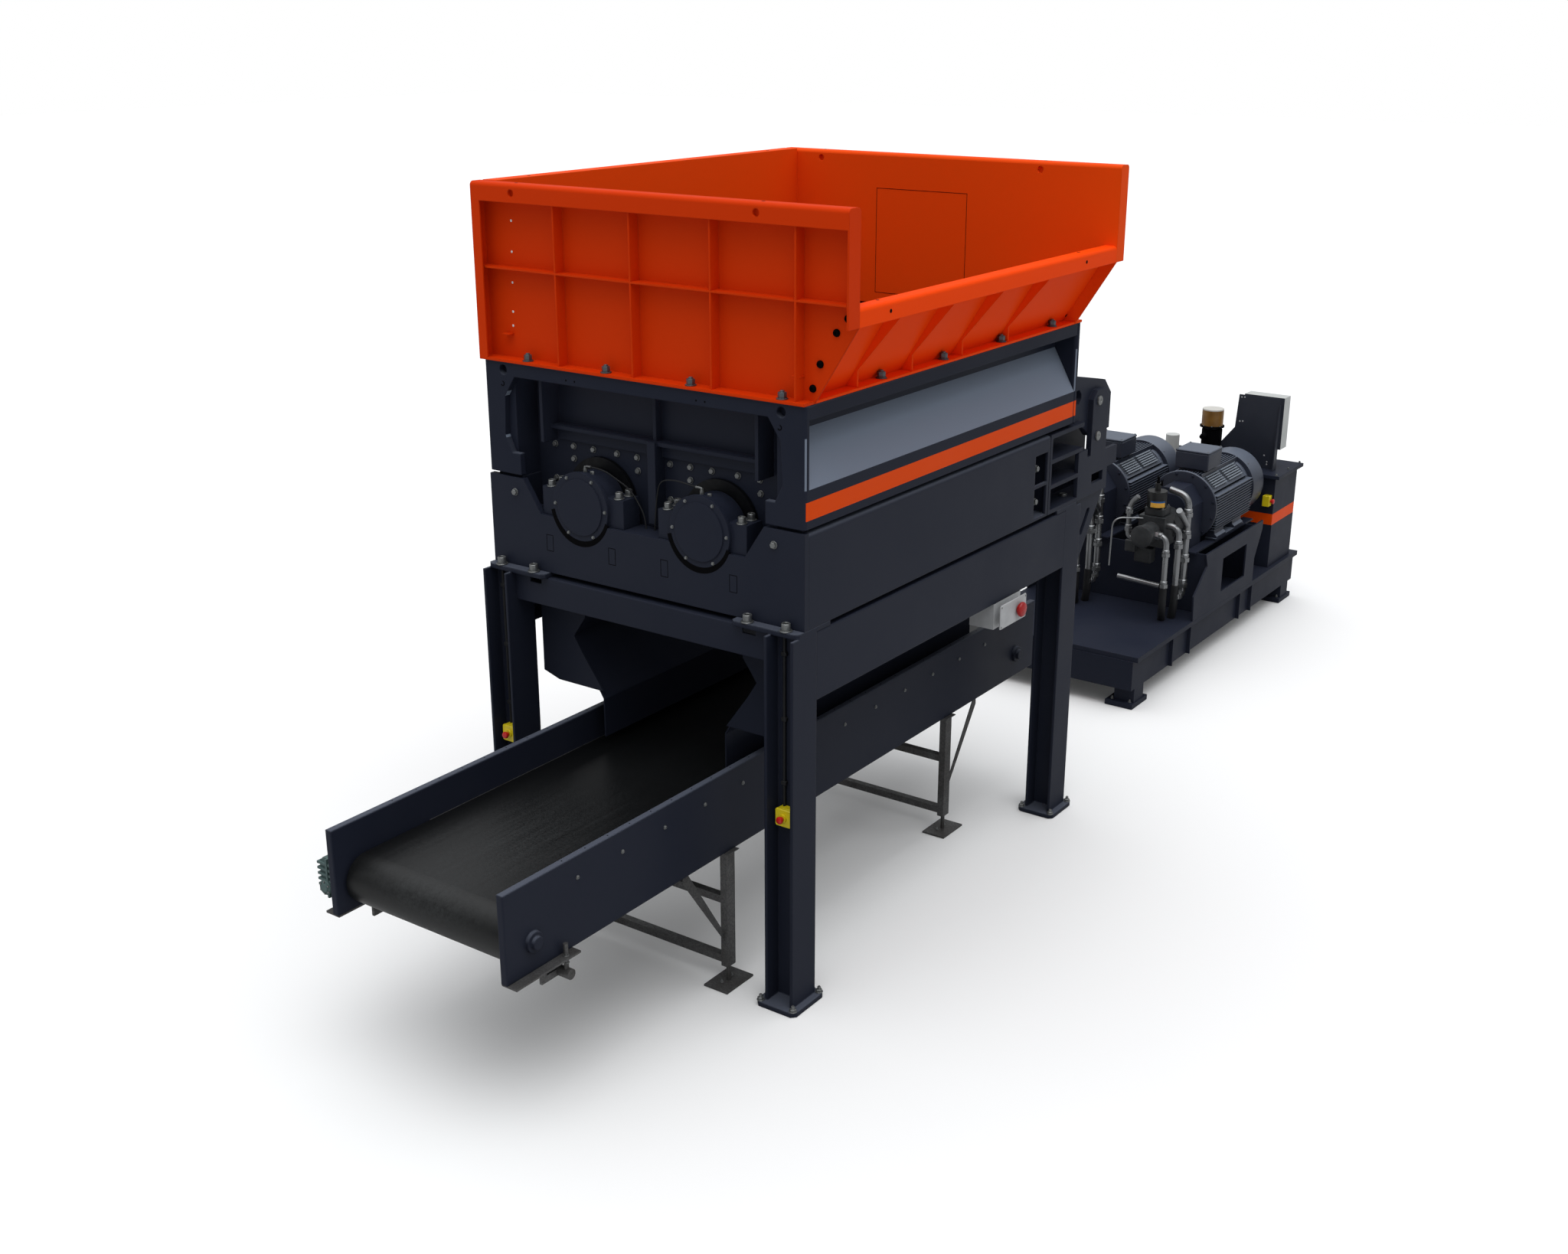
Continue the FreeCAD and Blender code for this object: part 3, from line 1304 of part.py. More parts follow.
# Belt drive: a ribbed gear housing on the head shaft, with its motor lying behind it.
def belt_drive():
    face = "-(panel_half + 2 * hub_out)"
    outer = "-drive_out"
    near = "-gear_front"
    housing = prism("gear_housing", "XZ", [
        (face, "gear_low"), (f"{outer} + gear_slope", "gear_low"), (outer, "gear_low + gear_slope"),
        (outer, "gear_high - gear_slope / 2"), (f"{outer} + gear_slope / 2", "gear_high"),
        (face, "gear_high"),
    ], "gear_long", ("0", near, "0"))
    parts = [housing]
    for number in range(5):
        level = f"gear_low + gear_slope + gear_rib_pitch * {number}"
        parts.append(box(f"gear_rib{number}", (f"{outer} - gear_rib_out", face),
                         (f"{near} - gear_rib_out", f"{near} + gear_long - gear_rib_out"),
                         (level, f"{level} + gear_rib")))
    parts.append(box("gear_spine", (f"{outer} + gear_slope", f"{outer} + gear_slope + gear_rib"),
                     (f"{near} - gear_rib_out - 4", f"{near} + 20"), ("gear_low", "gear_high")))
    parts.append(rod("gear_motor", "y", (f"{outer} + drive_radius + 8", f"{near} + gear_long - 10",
                                         "(gear_low + gear_high) / 2"), "drive_radius", "drive_long"))
    return fused("belt_drive", parts)


piece(belt_drive(), "conveyor_gearmotor")


# Control box under the loading-side beam and emergency-stop boxes in the front legs.
def control_box():
    case = box("control_case", ("box_in", "box_out"), ("box_front", "box_rear"),
               ("box_low", "frame_top - head_plate - side_beam_tall"))
    button = rod("control_button", "x", ("box_out - 2", "(box_front + box_rear) / 2 + 40", "box_low + 88"),
                 "button_radius", "button_long + 2")
    return fused("control_joined", [case, button])


def stop_box():
    centre = "(frame_half_wide - leg_wide / 2)"
    face = "-(frame_half_long - leg_deep / 2 + leg_web / 2)"
    case = box("stop_case", (f"{centre} - stop_box / 2", f"{centre} + stop_box / 2"),
               (f"{face} - stop_deep", face), ("stop_height - stop_box / 2", "stop_height + stop_box / 2"))
    button = rod("stop_button", "y", (centre, f"{face} - stop_deep - button_long", "stop_height"),
                 "button_radius * 0.6", "button_long + 2")
    return fused("stop_joined", [case, button])


piece(control_box(), "control_box")
right_stop = stop_box()
piece(group("stop_pair", [right_stop, mirrored("stop_twin", right_stop, "x")]), "emergency_stops")


# Power pack base: a boxed frame with a lipped deck, outside ribs and four floor pads.
def pack_base():
    low = "pack_low + 85"
    parts = [
        box("pack_box", ("-pack_half", "pack_half"), ("pack_front", "pack_rear"),
            (low, "pack_deck - pack_deck_lip")),
        box("pack_deck_plate", ("-pack_lip_out", "pack_lip_out"), ("pack_front + 10", "pack_rear"),
            ("pack_deck - pack_deck_lip", "pack_deck")),
    ]
    hollow = box("pack_hollow", ("pack_sheet - pack_half", "pack_half - pack_sheet"),
                 ("pack_front + pack_sheet", "pack_rear - pack_sheet"),
                 (f"{low} - 5", "pack_deck - pack_deck_lip"))
    frame = less("pack_frame", parts[0], [hollow])
    feet = []
    for side_sign in "-+":
        ends = ("-pack_pad_out", "-pad_in") if side_sign == "-" else ("pad_in", "pack_pad_out")
        post = ("-pack_half", "-pad_in - 60") if side_sign == "-" else ("pad_in + 60", "pack_half")
        for line in ("pack_front + 20", "pack_rear - 20 - pack_pad_long"):
            feet.append(box(f"pack_pad{len(feet)}", ends, (line, f"{line} + pack_pad_long"),
                            ("0", "pack_pad_thick")))
            feet.append(box(f"pack_post{len(feet)}", post, (f"{line} + 50", f"{line} + pack_pad_long - 70"),
                            ("pack_pad_thick", "pack_deck - pack_deck_lip")))
        for share in (0.2, 0.302, 0.607, 0.685):
            line = f"pack_front + {share} * (pack_rear - pack_front)"
            rib = ("-pack_half - 34", "-pack_half") if side_sign == "-" else ("pack_half", "pack_half + 34")
            feet.append(box(f"pack_rib{len(feet)}", rib, (f"{line}", f"{line} + 16"),
                            (low, "pack_deck - pack_deck_lip")))
    return fused("pack_base_joined", [frame, parts[1]] + feet)


piece(pack_base(), "pack_base")


# Motor frame: two cheek plates with a window, tied by cross plates under the motor rails.
def motor_frame():
    cheek = prism("cheek", "YZ", [
        ("cheek_front", "pack_deck"), ("cheek_rear", "pack_deck"), ("cheek_rear", "cheek_mid"),
        ("cheek_rise_rear", "cheek_top - 80"), ("cheek_rise_rear", "cheek_top"),
        ("cheek_rise_front - 50", "cheek_top"),
        ("cheek_rise_front", "cheek_shoulder"), ("cheek_front - 20", "cheek_mid"),
    ], "pack_sheet", ("pack_lip_out - pack_sheet", "0", "0"))
    pierced(cheek, "YZ", [
        ("cheek_window_front", "cheek_window_low"), ("cheek_window_rear", "cheek_window_low"),
        ("cheek_window_rear", "cheek_window_high"), ("cheek_window_front", "cheek_window_high"),
    ])
    parts = [cheek, mirrored("cheek_twin", cheek, "x")]
    inner = "(pack_lip_out - pack_sheet)"
    for number, line in enumerate(("cheek_rise_front", "cheek_rear - pack_sheet")):
        parts.append(box(f"motor_cross{number}", (f"-{inner}", inner), (line, f"{line} + pack_sheet"),
                         ("pack_deck", "cheek_top - pack_sheet")))
    for side_sign in "-+":
        for out in ("engine_offset - engine_foot_out", "engine_offset + engine_foot_out"):
            centre = f"{side_sign}({out})"
            parts.append(box(f"motor_rail{len(parts)}", (f"{centre} - 50", f"{centre} + 50"),
                             ("cheek_rise_front - 50", "cheek_rise_rear"),
                             ("cheek_top - pack_sheet", "cheek_top")))
    return fused("motor_frame_joined", parts)


piece(motor_frame(), "pack_motor_frame")


# Electric motors: foot-mounted, finned, with a fan cowl, a flange and a terminal box.
def engine():
    centre = "engine_offset"
    height = "engine_height"
    parts = [
        rod("engine_flange_disc", "y", (centre, "engine_flange_front", height), "engine_flange_radius",
            "engine_flange"),
        rod("engine_barrel", "y", (centre, "engine_flange_front", height), "engine_radius",
            "engine_rear - engine_flange_front"),
        rod("engine_cowl", "y", (centre, "engine_rear - 10", height), "cowl_radius",
            "cowl_rear - engine_rear + 10"),
        box("engine_terminal", (f"{centre} - terminal_half", f"{centre} + terminal_half"),
            ("terminal_front", "terminal_front + terminal_long"), (height, "terminal_high")),
    ]
    count = int(SIZES["fin_count"])
    for number in range(count):
        level = f"engine_radius * 0.82 * ({2 * number} / {count - 1} - 1)"
        parts.append(box(f"engine_fin{number}",
                         (f"{centre} - engine_radius - fin_deep", f"{centre} + engine_radius + fin_deep"),
                         ("engine_flange_front + engine_flange + 50", "engine_rear"),
                         (f"{height} + {level} - fin_thick / 2", f"{height} + {level} + fin_thick / 2")))
    for out in ("-engine_foot_out", "engine_foot_out"):
        parts.append(box(f"engine_foot{len(parts)}", (f"{centre} + {out} - 55", f"{centre} + {out} + 55"),
                         ("engine_flange_front + 120", "engine_rear - 200"),
                         ("cheek_top", f"{height} - 120")))
    return fused("engine_joined", parts)


main_engine = engine()
piece(main_engine, "pack_motor_right")
piece(mirrored("engine_twin", main_engine, "x"), "pack_motor_left")


# Gear cases in front of the motors, with the pumps hung on them.
def gear_case():
    centre = "engine_offset"
    half = "gear_case_half"
    case = prism("gear_case", "XZ", [
        (f"{centre} - {half}", "gear_case_low + 120"), (f"{centre} - {half} + 90", "gear_case_low"),
        (f"{centre} + {half} - 90", "gear_case_low"), (f"{centre} + {half}", "gear_case_low + 120"),
        (f"{centre} + {half}", "gear_case_high - 150"), (f"{centre} + {half} - 110", "gear_case_high"),
        (f"{centre} - {half} + 110", "gear_case_high"), (f"{centre} - {half}", "gear_case_high - 150"),
    ], "engine_flange_front - gear_case_front", ("0", "gear_case_front", "0"))
    return case


def pump_set():
    centre = "engine_offset"
    height = "engine_height - pump_drop"
    body = "gear_case_front - pump_front"
    parts = [
        rod("pump_neck", "y", (centre, f"gear_case_front - ({body}) * 0.35", height), "pump_radius * 1.2",
            f"({body}) * 0.35"),
        box("pump_block", (f"{centre} - pump_radius", f"{centre} + pump_radius"),
            (f"pump_front + ({body}) * 0.3", f"gear_case_front - ({body}) * 0.3"),
            (f"{height} - pump_radius * 1.1", f"{height} + pump_radius * 1.1")),
        rod("pump_tail", "y", (centre, "pump_front", height), "pump_radius * 0.72", f"({body}) * 0.4"),
        rod("pump_pilot", "y",
            (f"{centre} - pump_radius * 1.1", f"pump_front + ({body}) * 0.35", f"{height} - 60"),
            "pump_radius * 0.36", f"({body}) * 0.35"),
    ]
    return fused("pump_joined", parts)


main_case = gear_case()
piece(main_case, "pack_gear_case_right")
piece(mirrored("case_twin", main_case, "x"), "pack_gear_case_left")
main_pump = pump_set()
piece(main_pump, "pack_pump_right")
piece(mirrored("pump_twin", main_pump, "x"), "pack_pump_left")


# Pressure bottles: short domed accumulators on pipe stems above the pumps.
def bottles():
    stems = []
    height = "engine_height - pump_drop + pump_radius * 1.1"
    for side_sign in "-+":
        centre = f"{side_sign}engine_offset"
        line = "(gear_case_front - pump_long * 0.55)"
        tag = f"bottle_{len(stems)}"
        stems.append(fused(f"{tag}_joined", [
            rod(f"{tag}_stem", "z", (centre, line, height), "bottle_radius * 0.36",
                f"bottle_high - 2.2 * bottle_radius - ({height})"),
            rod(f"{tag}_shell", "z", (centre, line, "bottle_high - 2.4 * bottle_radius"), "bottle_radius",
                "1.6 * bottle_radius"),
            rod(f"{tag}_neck", "z", (centre, line, "bottle_high - 1.2 * bottle_radius"),
                "bottle_radius * 0.3",
                "1.2 * bottle_radius"),
        ]))
    return group("bottle_pair", stems)


piece(bottles(), "pack_accumulators")


# Oil tank with its lid, the return filter, the breather and the cabinet on a cranked plate.
def tank():
    shell = box("tank_shell", ("-tank_half", "tank_half"), ("tank_front", "tank_rear"),
                ("pack_deck", "tank_high"))
    lid = box("tank_lid", ("-tank_half - lid_out", "tank_half + lid_out"),
              ("tank_front - lid_out", "tank_rear + lid_out / 2"),
              ("tank_high", "tank_high + lid_thick"))
    return fused("tank_joined", [shell, lid])


def filter_set():
    floor = "tank_high + lid_thick"
    parts = [
        box("filter_foot_block", ("filter_out - filter_foot", "filter_out + filter_foot"),
            ("filter_line - 1.3 * filter_foot", "filter_line + 1.3 * filter_foot"),
            (floor, f"{floor} + filter_foot_tall")),
        rod("filter_neck", "z", ("filter_out", "filter_line", floor), "filter_radius * 0.68",
            "filter_neck_tall"),
        rod("filter_bowl", "z", ("filter_out", "filter_line", f"{floor} + filter_neck_tall"),
            "filter_radius", "filter_bowl_tall"),
    ]
    breather = rod("breather", "z", ("-breather_out", "filter_line", floor), "breather_radius",
                   "breather_tall")
    return group("filter_pair", [fused("filter_joined", parts), breather])


def cabinet():
    floor = "tank_high + lid_thick"
    plate = prism("cabinet_plate", "XZ", [
        ("cabinet_in", floor), ("cabinet_out", floor), ("cabinet_out", "cabinet_high - 40"),
        ("cabinet_out - 10", "cabinet_high"), ("cabinet_in + 170", "cabinet_high"),
        ("cabinet_in + 150", "cabinet_high - 330"), ("cabinet_in", "cabinet_high - 520"),
    ], "10", ("0", "cabinet_line", "0"))
    wing = prism("cabinet_wing", "YZ", [
        ("cabinet_line - 80", floor), ("cabinet_line + 10", floor),
        ("cabinet_line + 10", "cabinet_high - 60"),
        ("cabinet_line - 20", "cabinet_high - 60"),
    ], "10", ("cabinet_out - 10", "0", "0"))
    case = box("cabinet_case", ("cabinet_in + 220", "cabinet_out + 25"),
               ("cabinet_line + 10", "cabinet_line + 170"),
               (f"{floor} + case_lift", "cabinet_high + 10"))
    return fused("cabinet_joined", [plate, wing, case])


piece(tank(), "pack_tank")
piece(filter_set(), "pack_filter")
piece(cabinet(), "pack_cabinet")

doc.recompute()
for thing in doc.Objects:
    if "Invalid" in thing.State or "Error" in thing.State:
        raise ValueError(f"{thing.Label} did not build: {thing.State}")
for thing in PIECES:
    shape = thing.Shape
    if shape.isNull() or not shape.isValid():
        raise ValueError(f"{thing.Label} has no valid shape")

os.makedirs("parts", exist_ok=True)
for thing in PIECES:
    thing.Shape.exportStep(f"parts/{thing.Label}.step")
    print(thing.Label, len(thing.Shape.Solids))
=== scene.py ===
import math

import bpy
import numpy as np
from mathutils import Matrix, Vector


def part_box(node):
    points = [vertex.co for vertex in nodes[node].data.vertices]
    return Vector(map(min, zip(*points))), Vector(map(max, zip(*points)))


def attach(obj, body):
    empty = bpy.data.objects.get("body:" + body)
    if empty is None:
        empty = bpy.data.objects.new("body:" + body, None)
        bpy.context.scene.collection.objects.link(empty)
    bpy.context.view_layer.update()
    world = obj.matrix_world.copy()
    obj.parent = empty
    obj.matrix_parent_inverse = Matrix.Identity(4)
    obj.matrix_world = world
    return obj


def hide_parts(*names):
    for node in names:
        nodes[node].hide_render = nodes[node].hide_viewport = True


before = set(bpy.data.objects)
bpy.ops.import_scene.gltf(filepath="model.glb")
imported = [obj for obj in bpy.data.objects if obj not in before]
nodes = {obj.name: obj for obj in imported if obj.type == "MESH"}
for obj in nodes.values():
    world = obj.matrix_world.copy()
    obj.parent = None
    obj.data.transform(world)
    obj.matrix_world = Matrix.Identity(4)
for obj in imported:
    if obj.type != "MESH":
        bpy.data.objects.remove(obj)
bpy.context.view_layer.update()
stage = bpy.context.scene
stage.view_settings.view_transform = "Standard"


# Studio floor, soft daylight and camera.
# The machine stands on a seamless white floor under a very wide overhead light, seen from
# its discharge end, a little above the hopper rim, through a lens of about 40 mm.
def srgb(*levels):
    """Linear colour of 0-255 display levels: the display curve undone, level by level."""
    shares = np.array(levels) / 255
    linear = np.where(shares > 0.04045, ((shares + 0.055) / 1.055) ** 2.4, shares / 12.92)
    return (*[float(level) for level in linear], 1.0)


def new_tree(name):
    """A material and its emptied node tree."""
    material = bpy.data.materials.new(name)
    material.use_nodes = True
    material.node_tree.nodes.clear()
    return material, material.node_tree


def feed(tree, node, socket, value):
    """Feeds a socket from another node's output, or sets its own value."""
    if isinstance(value, bpy.types.NodeSocket):
        tree.links.new(value, node.inputs[socket])
    else:
        node.inputs[socket].default_value = value


def put(tree, kind, mode=None, **sockets):
    """Adds a node; a keyword names a socket, with _ for its spaces, or its number after s."""
    node = tree.nodes.new(kind)
    if mode:
        node.operation = mode
    for socket, value in sockets.items():
        key = int(socket[1:]) if socket[0] == "s" and socket[1:].isdigit() else socket.replace("_", " ")
        feed(tree, node, key, value)
    return node


def reach(tree, value, low, high, to_low=0.0, to_high=1.0):
    """A value carried from one range onto another, straight and clamped."""
    node = put(tree, "ShaderNodeMapRange", Value=value, From_Min=low, From_Max=high, To_Min=to_low,
               To_Max=to_high)
    return node.outputs["Result"]


def between(tree, share, first, second):
    """Two colours mixed by a share."""
    node = put(tree, "ShaderNodeMix")
    node.data_type = "RGBA"
    feed(tree, node, "Factor", share)
    feed(tree, node, 6, first)
    feed(tree, node, 7, second)
    return node.outputs[2]


def noise(tree, spot, scale, detail=3.0, rough=0.5):
    """Cloudy noise, 0 to 1, at a number of patches a metre."""
    return put(tree, "ShaderNodeTexNoise", Vector=spot, Scale=scale, Detail=detail,
               Roughness=rough).outputs[0]


def begun(name):
    """A material, its node tree and the place of each point on the object."""
    material, tree = new_tree(name)
    return material, tree, put(tree, "ShaderNodeTexCoord").outputs["Object"]


def axis_of(tree, vector, axis):
    """One axis of a vector."""
    return put(tree, "ShaderNodeSeparateXYZ", Vector=vector).outputs[axis]


def maths(tree, kind, first, second=0.0):
    """Result of one sum of two values."""
    return put(tree, "ShaderNodeMath", kind, s0=first, s1=second).outputs[0]


floor_finish, tree = new_tree("studio_floor")
path = put(tree, "ShaderNodeLightPath")
seen = path.outputs["Is Camera Ray"]
matt = put(tree, "ShaderNodeBsdfDiffuse",
           Color=between(tree, seen, (0.46, 0.46, 0.46, 1), (0.87, 0.87, 0.87, 1)))
share = maths(tree, "MULTIPLY", seen, 0.03)
lift = put(tree, "ShaderNodeEmission", Color=(1, 1, 1, 1), Strength=share)
both = put(tree, "ShaderNodeAddShader", s0=matt.outputs[0], s1=lift.outputs[0])
put(tree, "ShaderNodeOutputMaterial", Surface=both.outputs[0])
floor_mesh = bpy.data.meshes.new("studio_floor")
corners = np.array([(-1, -1), (1, -1), (1, 1), (-1, 1)]) * 90.0
floor_mesh.from_pydata([(x, y, -0.002) for x, y in corners], [], [(0, 1, 2, 3)])
floor_mesh.materials.append(floor_finish)
floor = bpy.data.objects.new("studio_floor", floor_mesh)
stage.collection.objects.link(floor)

room = bpy.data.worlds.new("soft_room")
room.use_nodes = True
stage.world = room
tree = room.node_tree
tree.nodes.clear()
path = put(tree, "ShaderNodeLightPath")
seen = maths(tree, "MAXIMUM", path.outputs["Is Camera Ray"], path.outputs["Is Transmission Ray"])
way = axis_of(tree, put(tree, "ShaderNodeTexCoord").outputs["Generated"], "Z")
above = maths(tree, "POWER", reach(tree, way, 0.0, 1.0), 2.2)
power = reach(tree, above, 0.0, 1.0, 0.26, 1.85)
glow = put(tree, "ShaderNodeBackground", Color=(0.97, 0.985, 1, 1), Strength=power)
shown = put(tree, "ShaderNodeBackground", Color=(1, 1, 1, 1), Strength=1.0)
choice = put(tree, "ShaderNodeMixShader", Fac=seen, s1=glow.outputs[0], s2=shown.outputs[0])
put(tree, "ShaderNodeOutputWorld", Surface=choice.outputs[0])

daylight = bpy.data.lights.new("overhead_daylight", "SUN")
daylight.energy = 0.8
daylight.angle = math.radians(50)
lamp = bpy.data.objects.new("overhead_daylight", daylight)
lamp.rotation_euler = (math.radians(10), math.radians(13), 0)
stage.collection.objects.link(lamp)

camera_data = bpy.data.cameras.new("photo_camera")
camera_data.sensor_fit = "HORIZONTAL"
camera_data.sensor_width = 36.0
camera_data.lens = 39.97
camera_data.clip_end = 300
camera = bpy.data.objects.new("photo_camera", camera_data)
camera.location = (6.411, -9.237, 5.685)
camera.rotation_euler = (math.pi / 2 - 0.3402, 0, 0.6166)
stage.collection.objects.link(camera)
stage.camera = camera


# Frame legs and beams: H-section posts and pressed channels in dark blue-grey powder coat.
# The coat has a fine orange-peel grain, a thin cloudy film of dust and small patches of
# different gloss; zinc-plated anchor nuts and socket screws hold the plates.
def edge_normal(tree, radius):
    """Normal of a slightly rolled edge, so that folded plates catch light along their corners."""
    node = put(tree, "ShaderNodeBevel", Radius=radius)
    node.samples = 4
    return node.outputs[0]


def grained(tree, height, strength, distance, edge=0.0):
    """Normal of a face lifted by a height; a radius rolls its edges as well."""
    bump = put(tree, "ShaderNodeBump", Height=height, Strength=strength, Distance=distance)
    if edge:
        feed(tree, bump, "Normal", edge_normal(tree, edge))
    return bump.outputs[0]


def finish(material, tree, tint, rough, normal=None, metal=0.0, level=0.5):
    """Closes a material with one skin of the given colour, roughness, normal and sheen."""
    skin = put(tree, "ShaderNodeBsdfPrincipled", Base_Color=tint, Roughness=rough, Metallic=metal)
    if normal is not None:
        feed(tree, skin, "Normal", normal)
    skin.inputs["Specular IOR Level"].default_value = level
    put(tree, "ShaderNodeOutputMaterial", Surface=skin.outputs[0])
    return material


def coat(name, colour, rough, grain=0.04, dust=0.02, metal=0.0, level=0.25, scale=1.6, edge=0.007,
         top_highlight=0.0):
    """Painted metal: broad noise moves the colour towards dust and the roughness both ways;
    fine noise lifts the surface a few hundredths of a millimetre. A pale painted highlight lies on
    faces and rolled edges that look up, where the overhead light falls: its share grows with the height of
    the edge's normal."""
    material, tree, spot = begun(name)
    broad = noise(tree, spot, scale, 6.0, 0.62)
    speck = noise(tree, spot, 42.0, 4.0, 0.7)
    dusty = (*[c + (0.4 - c) * dust for c in colour[:3]], 1.0)
    tint = between(tree, reach(tree, broad, 0.38, 0.74), colour, dusty)
    deep = (*[c * 0.9 for c in colour[:3]], 1.0)
    tint = between(tree, reach(tree, speck, 0.6, 0.78, 0.0, 0.4), tint, deep)
    # Painted highlight: faces and edges that look up are lightened towards a pale blue-grey.
    if top_highlight:
        upward = axis_of(tree, edge_normal(tree, edge), "Z")
        tint = between(tree, reach(tree, upward, 0.2, 0.85, 0.0, top_highlight), tint, (0.13, 0.145, 0.185, 1.0))
    gloss = reach(tree, broad, 0.3, 0.7, rough - 0.06, rough + 0.08)
    bump = grained(tree, noise(tree, spot, 240.0, 2.0), grain, 0.002, edge)
    return finish(material, tree, tint, gloss, bump, metal=metal, level=level)


def dress(material, *names):
    """Gives CAD nodes one finish."""
    for name in names:
        mesh = nodes[name].data
        mesh.materials.clear()
        mesh.materials.append(material)


def piece(name, points, faces, material, body="machine", turn=35):
    """One object from arrays of points and faces; edges sharper than the angle stay crisp."""
    mesh = bpy.data.meshes.new(name)
    mesh.from_pydata(np.asarray(points).tolist(), [], faces)
    mesh.polygons.foreach_set("use_smooth", np.ones(len(mesh.polygons), dtype=bool))
    mesh.set_sharp_from_angle(angle=math.radians(turn))
    mesh.materials.append(material)
    thing = bpy.data.objects.new(name, mesh)
    stage.collection.objects.link(thing)
    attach(thing, body)
    return thing


FRAMES = {
    "x": np.array([(0, 1, 0), (0, 0, 1), (1, 0, 0)], dtype=float),
    "y": np.array([(0, 0, 1), (1, 0, 0), (0, 1, 0)], dtype=float),
    "z": np.array([(1, 0, 0), (0, 1, 0), (0, 0, 1)], dtype=float),
}


def turned(profile, spots, axis, sides, phase=0.0, sign=1.0):
    """Points and faces of a profile of (radius, height) turned round an axis at every spot:
    point = spot + radius * (cos a, sin a) across + height along; both ends are closed."""
    profile = np.array(profile, dtype=float)
    spots = np.atleast_2d(np.array(spots, dtype=float))
    across, up, along = FRAMES[axis]
    if sign < 0:
        up, along = -up, -along
    angle = phase + 2 * np.pi * np.arange(sides) / sides
    ring = np.cos(angle)[:, None] * across + np.sin(angle)[:, None] * up
    local = profile[:, 0, None, None] * ring + profile[:, 1, None, None] * along
    points = (spots[:, None, None, :] + local).reshape(-1, 3)
    rows = len(profile)
    i, j = np.meshgrid(np.arange(rows - 1), np.arange(sides), indexing="ij")
    k = (j + 1) % sides
    quads = np.stack([i * sides + j, i * sides + k, (i + 1) * sides + k, (i + 1) * sides + j],
                     -1).reshape(-1, 4)
    start = (np.arange(len(spots)) * rows * sides)[:, None, None]
    faces = (quads + start).reshape(-1, 4).tolist()
    first = (np.arange(sides)[::-1] + start[:, 0]).tolist()
    last = (np.arange(sides) + (rows - 1) * sides + start[:, 0]).tolist()
    return points, faces + first + last


def joined(name, sets, material, body="machine", turn=35):
    """One object from several sets of points and faces."""
    points = np.concatenate([found[0] for found in sets])
    faces = []
    start = 0
    for found, corners in sets:
        faces += [[corner + start for corner in face] for face in corners]
        start += len(found)
    return piece(name, points, faces, material, body, turn)


def socket_screws(name, spots, axis, size, material, body="machine", sign=1.0):
    """Cylinder-head screws on washers: head as wide as size, with a hexagon recess on top."""
    r = size / 2
    washer = [(r * 1.02, 0), (r * 1.38, 0), (r * 1.42, 0.1 * r), (r * 1.42, 0.22 * r), (r * 1.36, 0.28 * r)]
    head = [(r * 0.97, 0.25 * r), (r, 0.34 * r), (r, 1.68 * r), (r * 0.9, 1.8 * r), (r * 0.62, 1.8 * r)]
    well = [(r * 0.6, 1.79 * r), (r * 0.55, 1.74 * r), (r * 0.52, 0.95 * r)]
    sets = [turned(washer, spots, axis, 20, sign=sign), turned(head + well, spots, axis, 18, sign=sign)]
    return joined(name, sets, material, body)


def hex_screws(name, spots, axis, size, material, body="machine", sign=1.0, stud=0.0):
    """Hexagon heads on washers; size is the width over flats; a stud may stand out of each."""
    r = size / math.sqrt(3)
    washer = [(r * 0.9, 0), (r * 1.16, 0), (r * 1.2, 0.08 * r), (r * 1.2, 0.2 * r), (r * 1.14, 0.26 * r)]
    head = [(r * 0.96, 0.24 * r), (r, 0.3 * r), (r, 0.86 * r), (r * 0.86, 1.0 * r)]
    sets = [turned(washer, spots, axis, 18, sign=sign), turned(head, spots, axis, 6, 0.4, sign=sign)]
    if stud:
        rod = [(r * 0.5, 0.9 * r), (r * 0.5, 0.9 * r + stud), (r * 0.42, 1.02 * r + stud)]
        sets.append(turned(rod, spots, axis, 12, sign=sign))
    return joined(name, sets, material, body)


dark_coat = coat("dark_coat", srgb(34, 38, 51), 0.44, dust=0.01, level=0.1)
# The rolled sides and legs carry a painted highlight along their upward faces and edges.
edged_highlit_coat = coat("edged_highlit_coat", srgb(34, 38, 51), 0.44, dust=0.01, level=0.1, edge=0.014, top_highlight=0.5)
zinc_screw = coat("zinc_screw", srgb(126, 128, 128), 0.36, grain=0.02, dust=0.04, metal=0.75, scale=9.0,
                  edge=0.001)
dress(dark_coat, *nodes)
rolled = [name for name in nodes if name.startswith(("lower_side", "conveyor_side", "leg_"))]
dress(edged_highlit_coat, *rolled)

leg_x = np.array([-1.093, 1.093])
leg_y = np.array([-1.671, 1.671])
anchor_spots = [(x + dx, y + dy, 0.030) for x in leg_x for y in leg_y for dx in (-0.119, 0.119)
                for dy in (-0.139, 0.139)]
hex_screws("anchor_nuts", anchor_spots, "z", 0.036, zinc_screw, stud=0.018)
head_spots = [(x * side, y, 2.400) for side in (-1, 1)
              for x, y in ((0.825, -1.718), (1.095, -1.718), (0.825, 1.70), (1.095, 1.70))]
socket_screws("head_plate_screws", head_spots, "z", 0.054, zinc_screw)


def rounded(half_a, half_b, radius, centre=(0.0, 0.0), steps=4):
    """Outline of a rounded rectangle: a quarter circle at each corner, joined by straight sides."""
    turn = np.linspace(0, np.pi / 2, steps + 1)
    quarters = []
    for number, (a, b) in enumerate(((1, 1), (-1, 1), (-1, -1), (1, -1))):
        angle = turn + number * np.pi / 2
        quarters.append(np.stack([centre[0] + a * (half_a - radius) + radius * np.cos(angle),
                                  centre[1] + b * (half_b - radius) + radius * np.sin(angle)], -1))
    return np.concatenate(quarters)


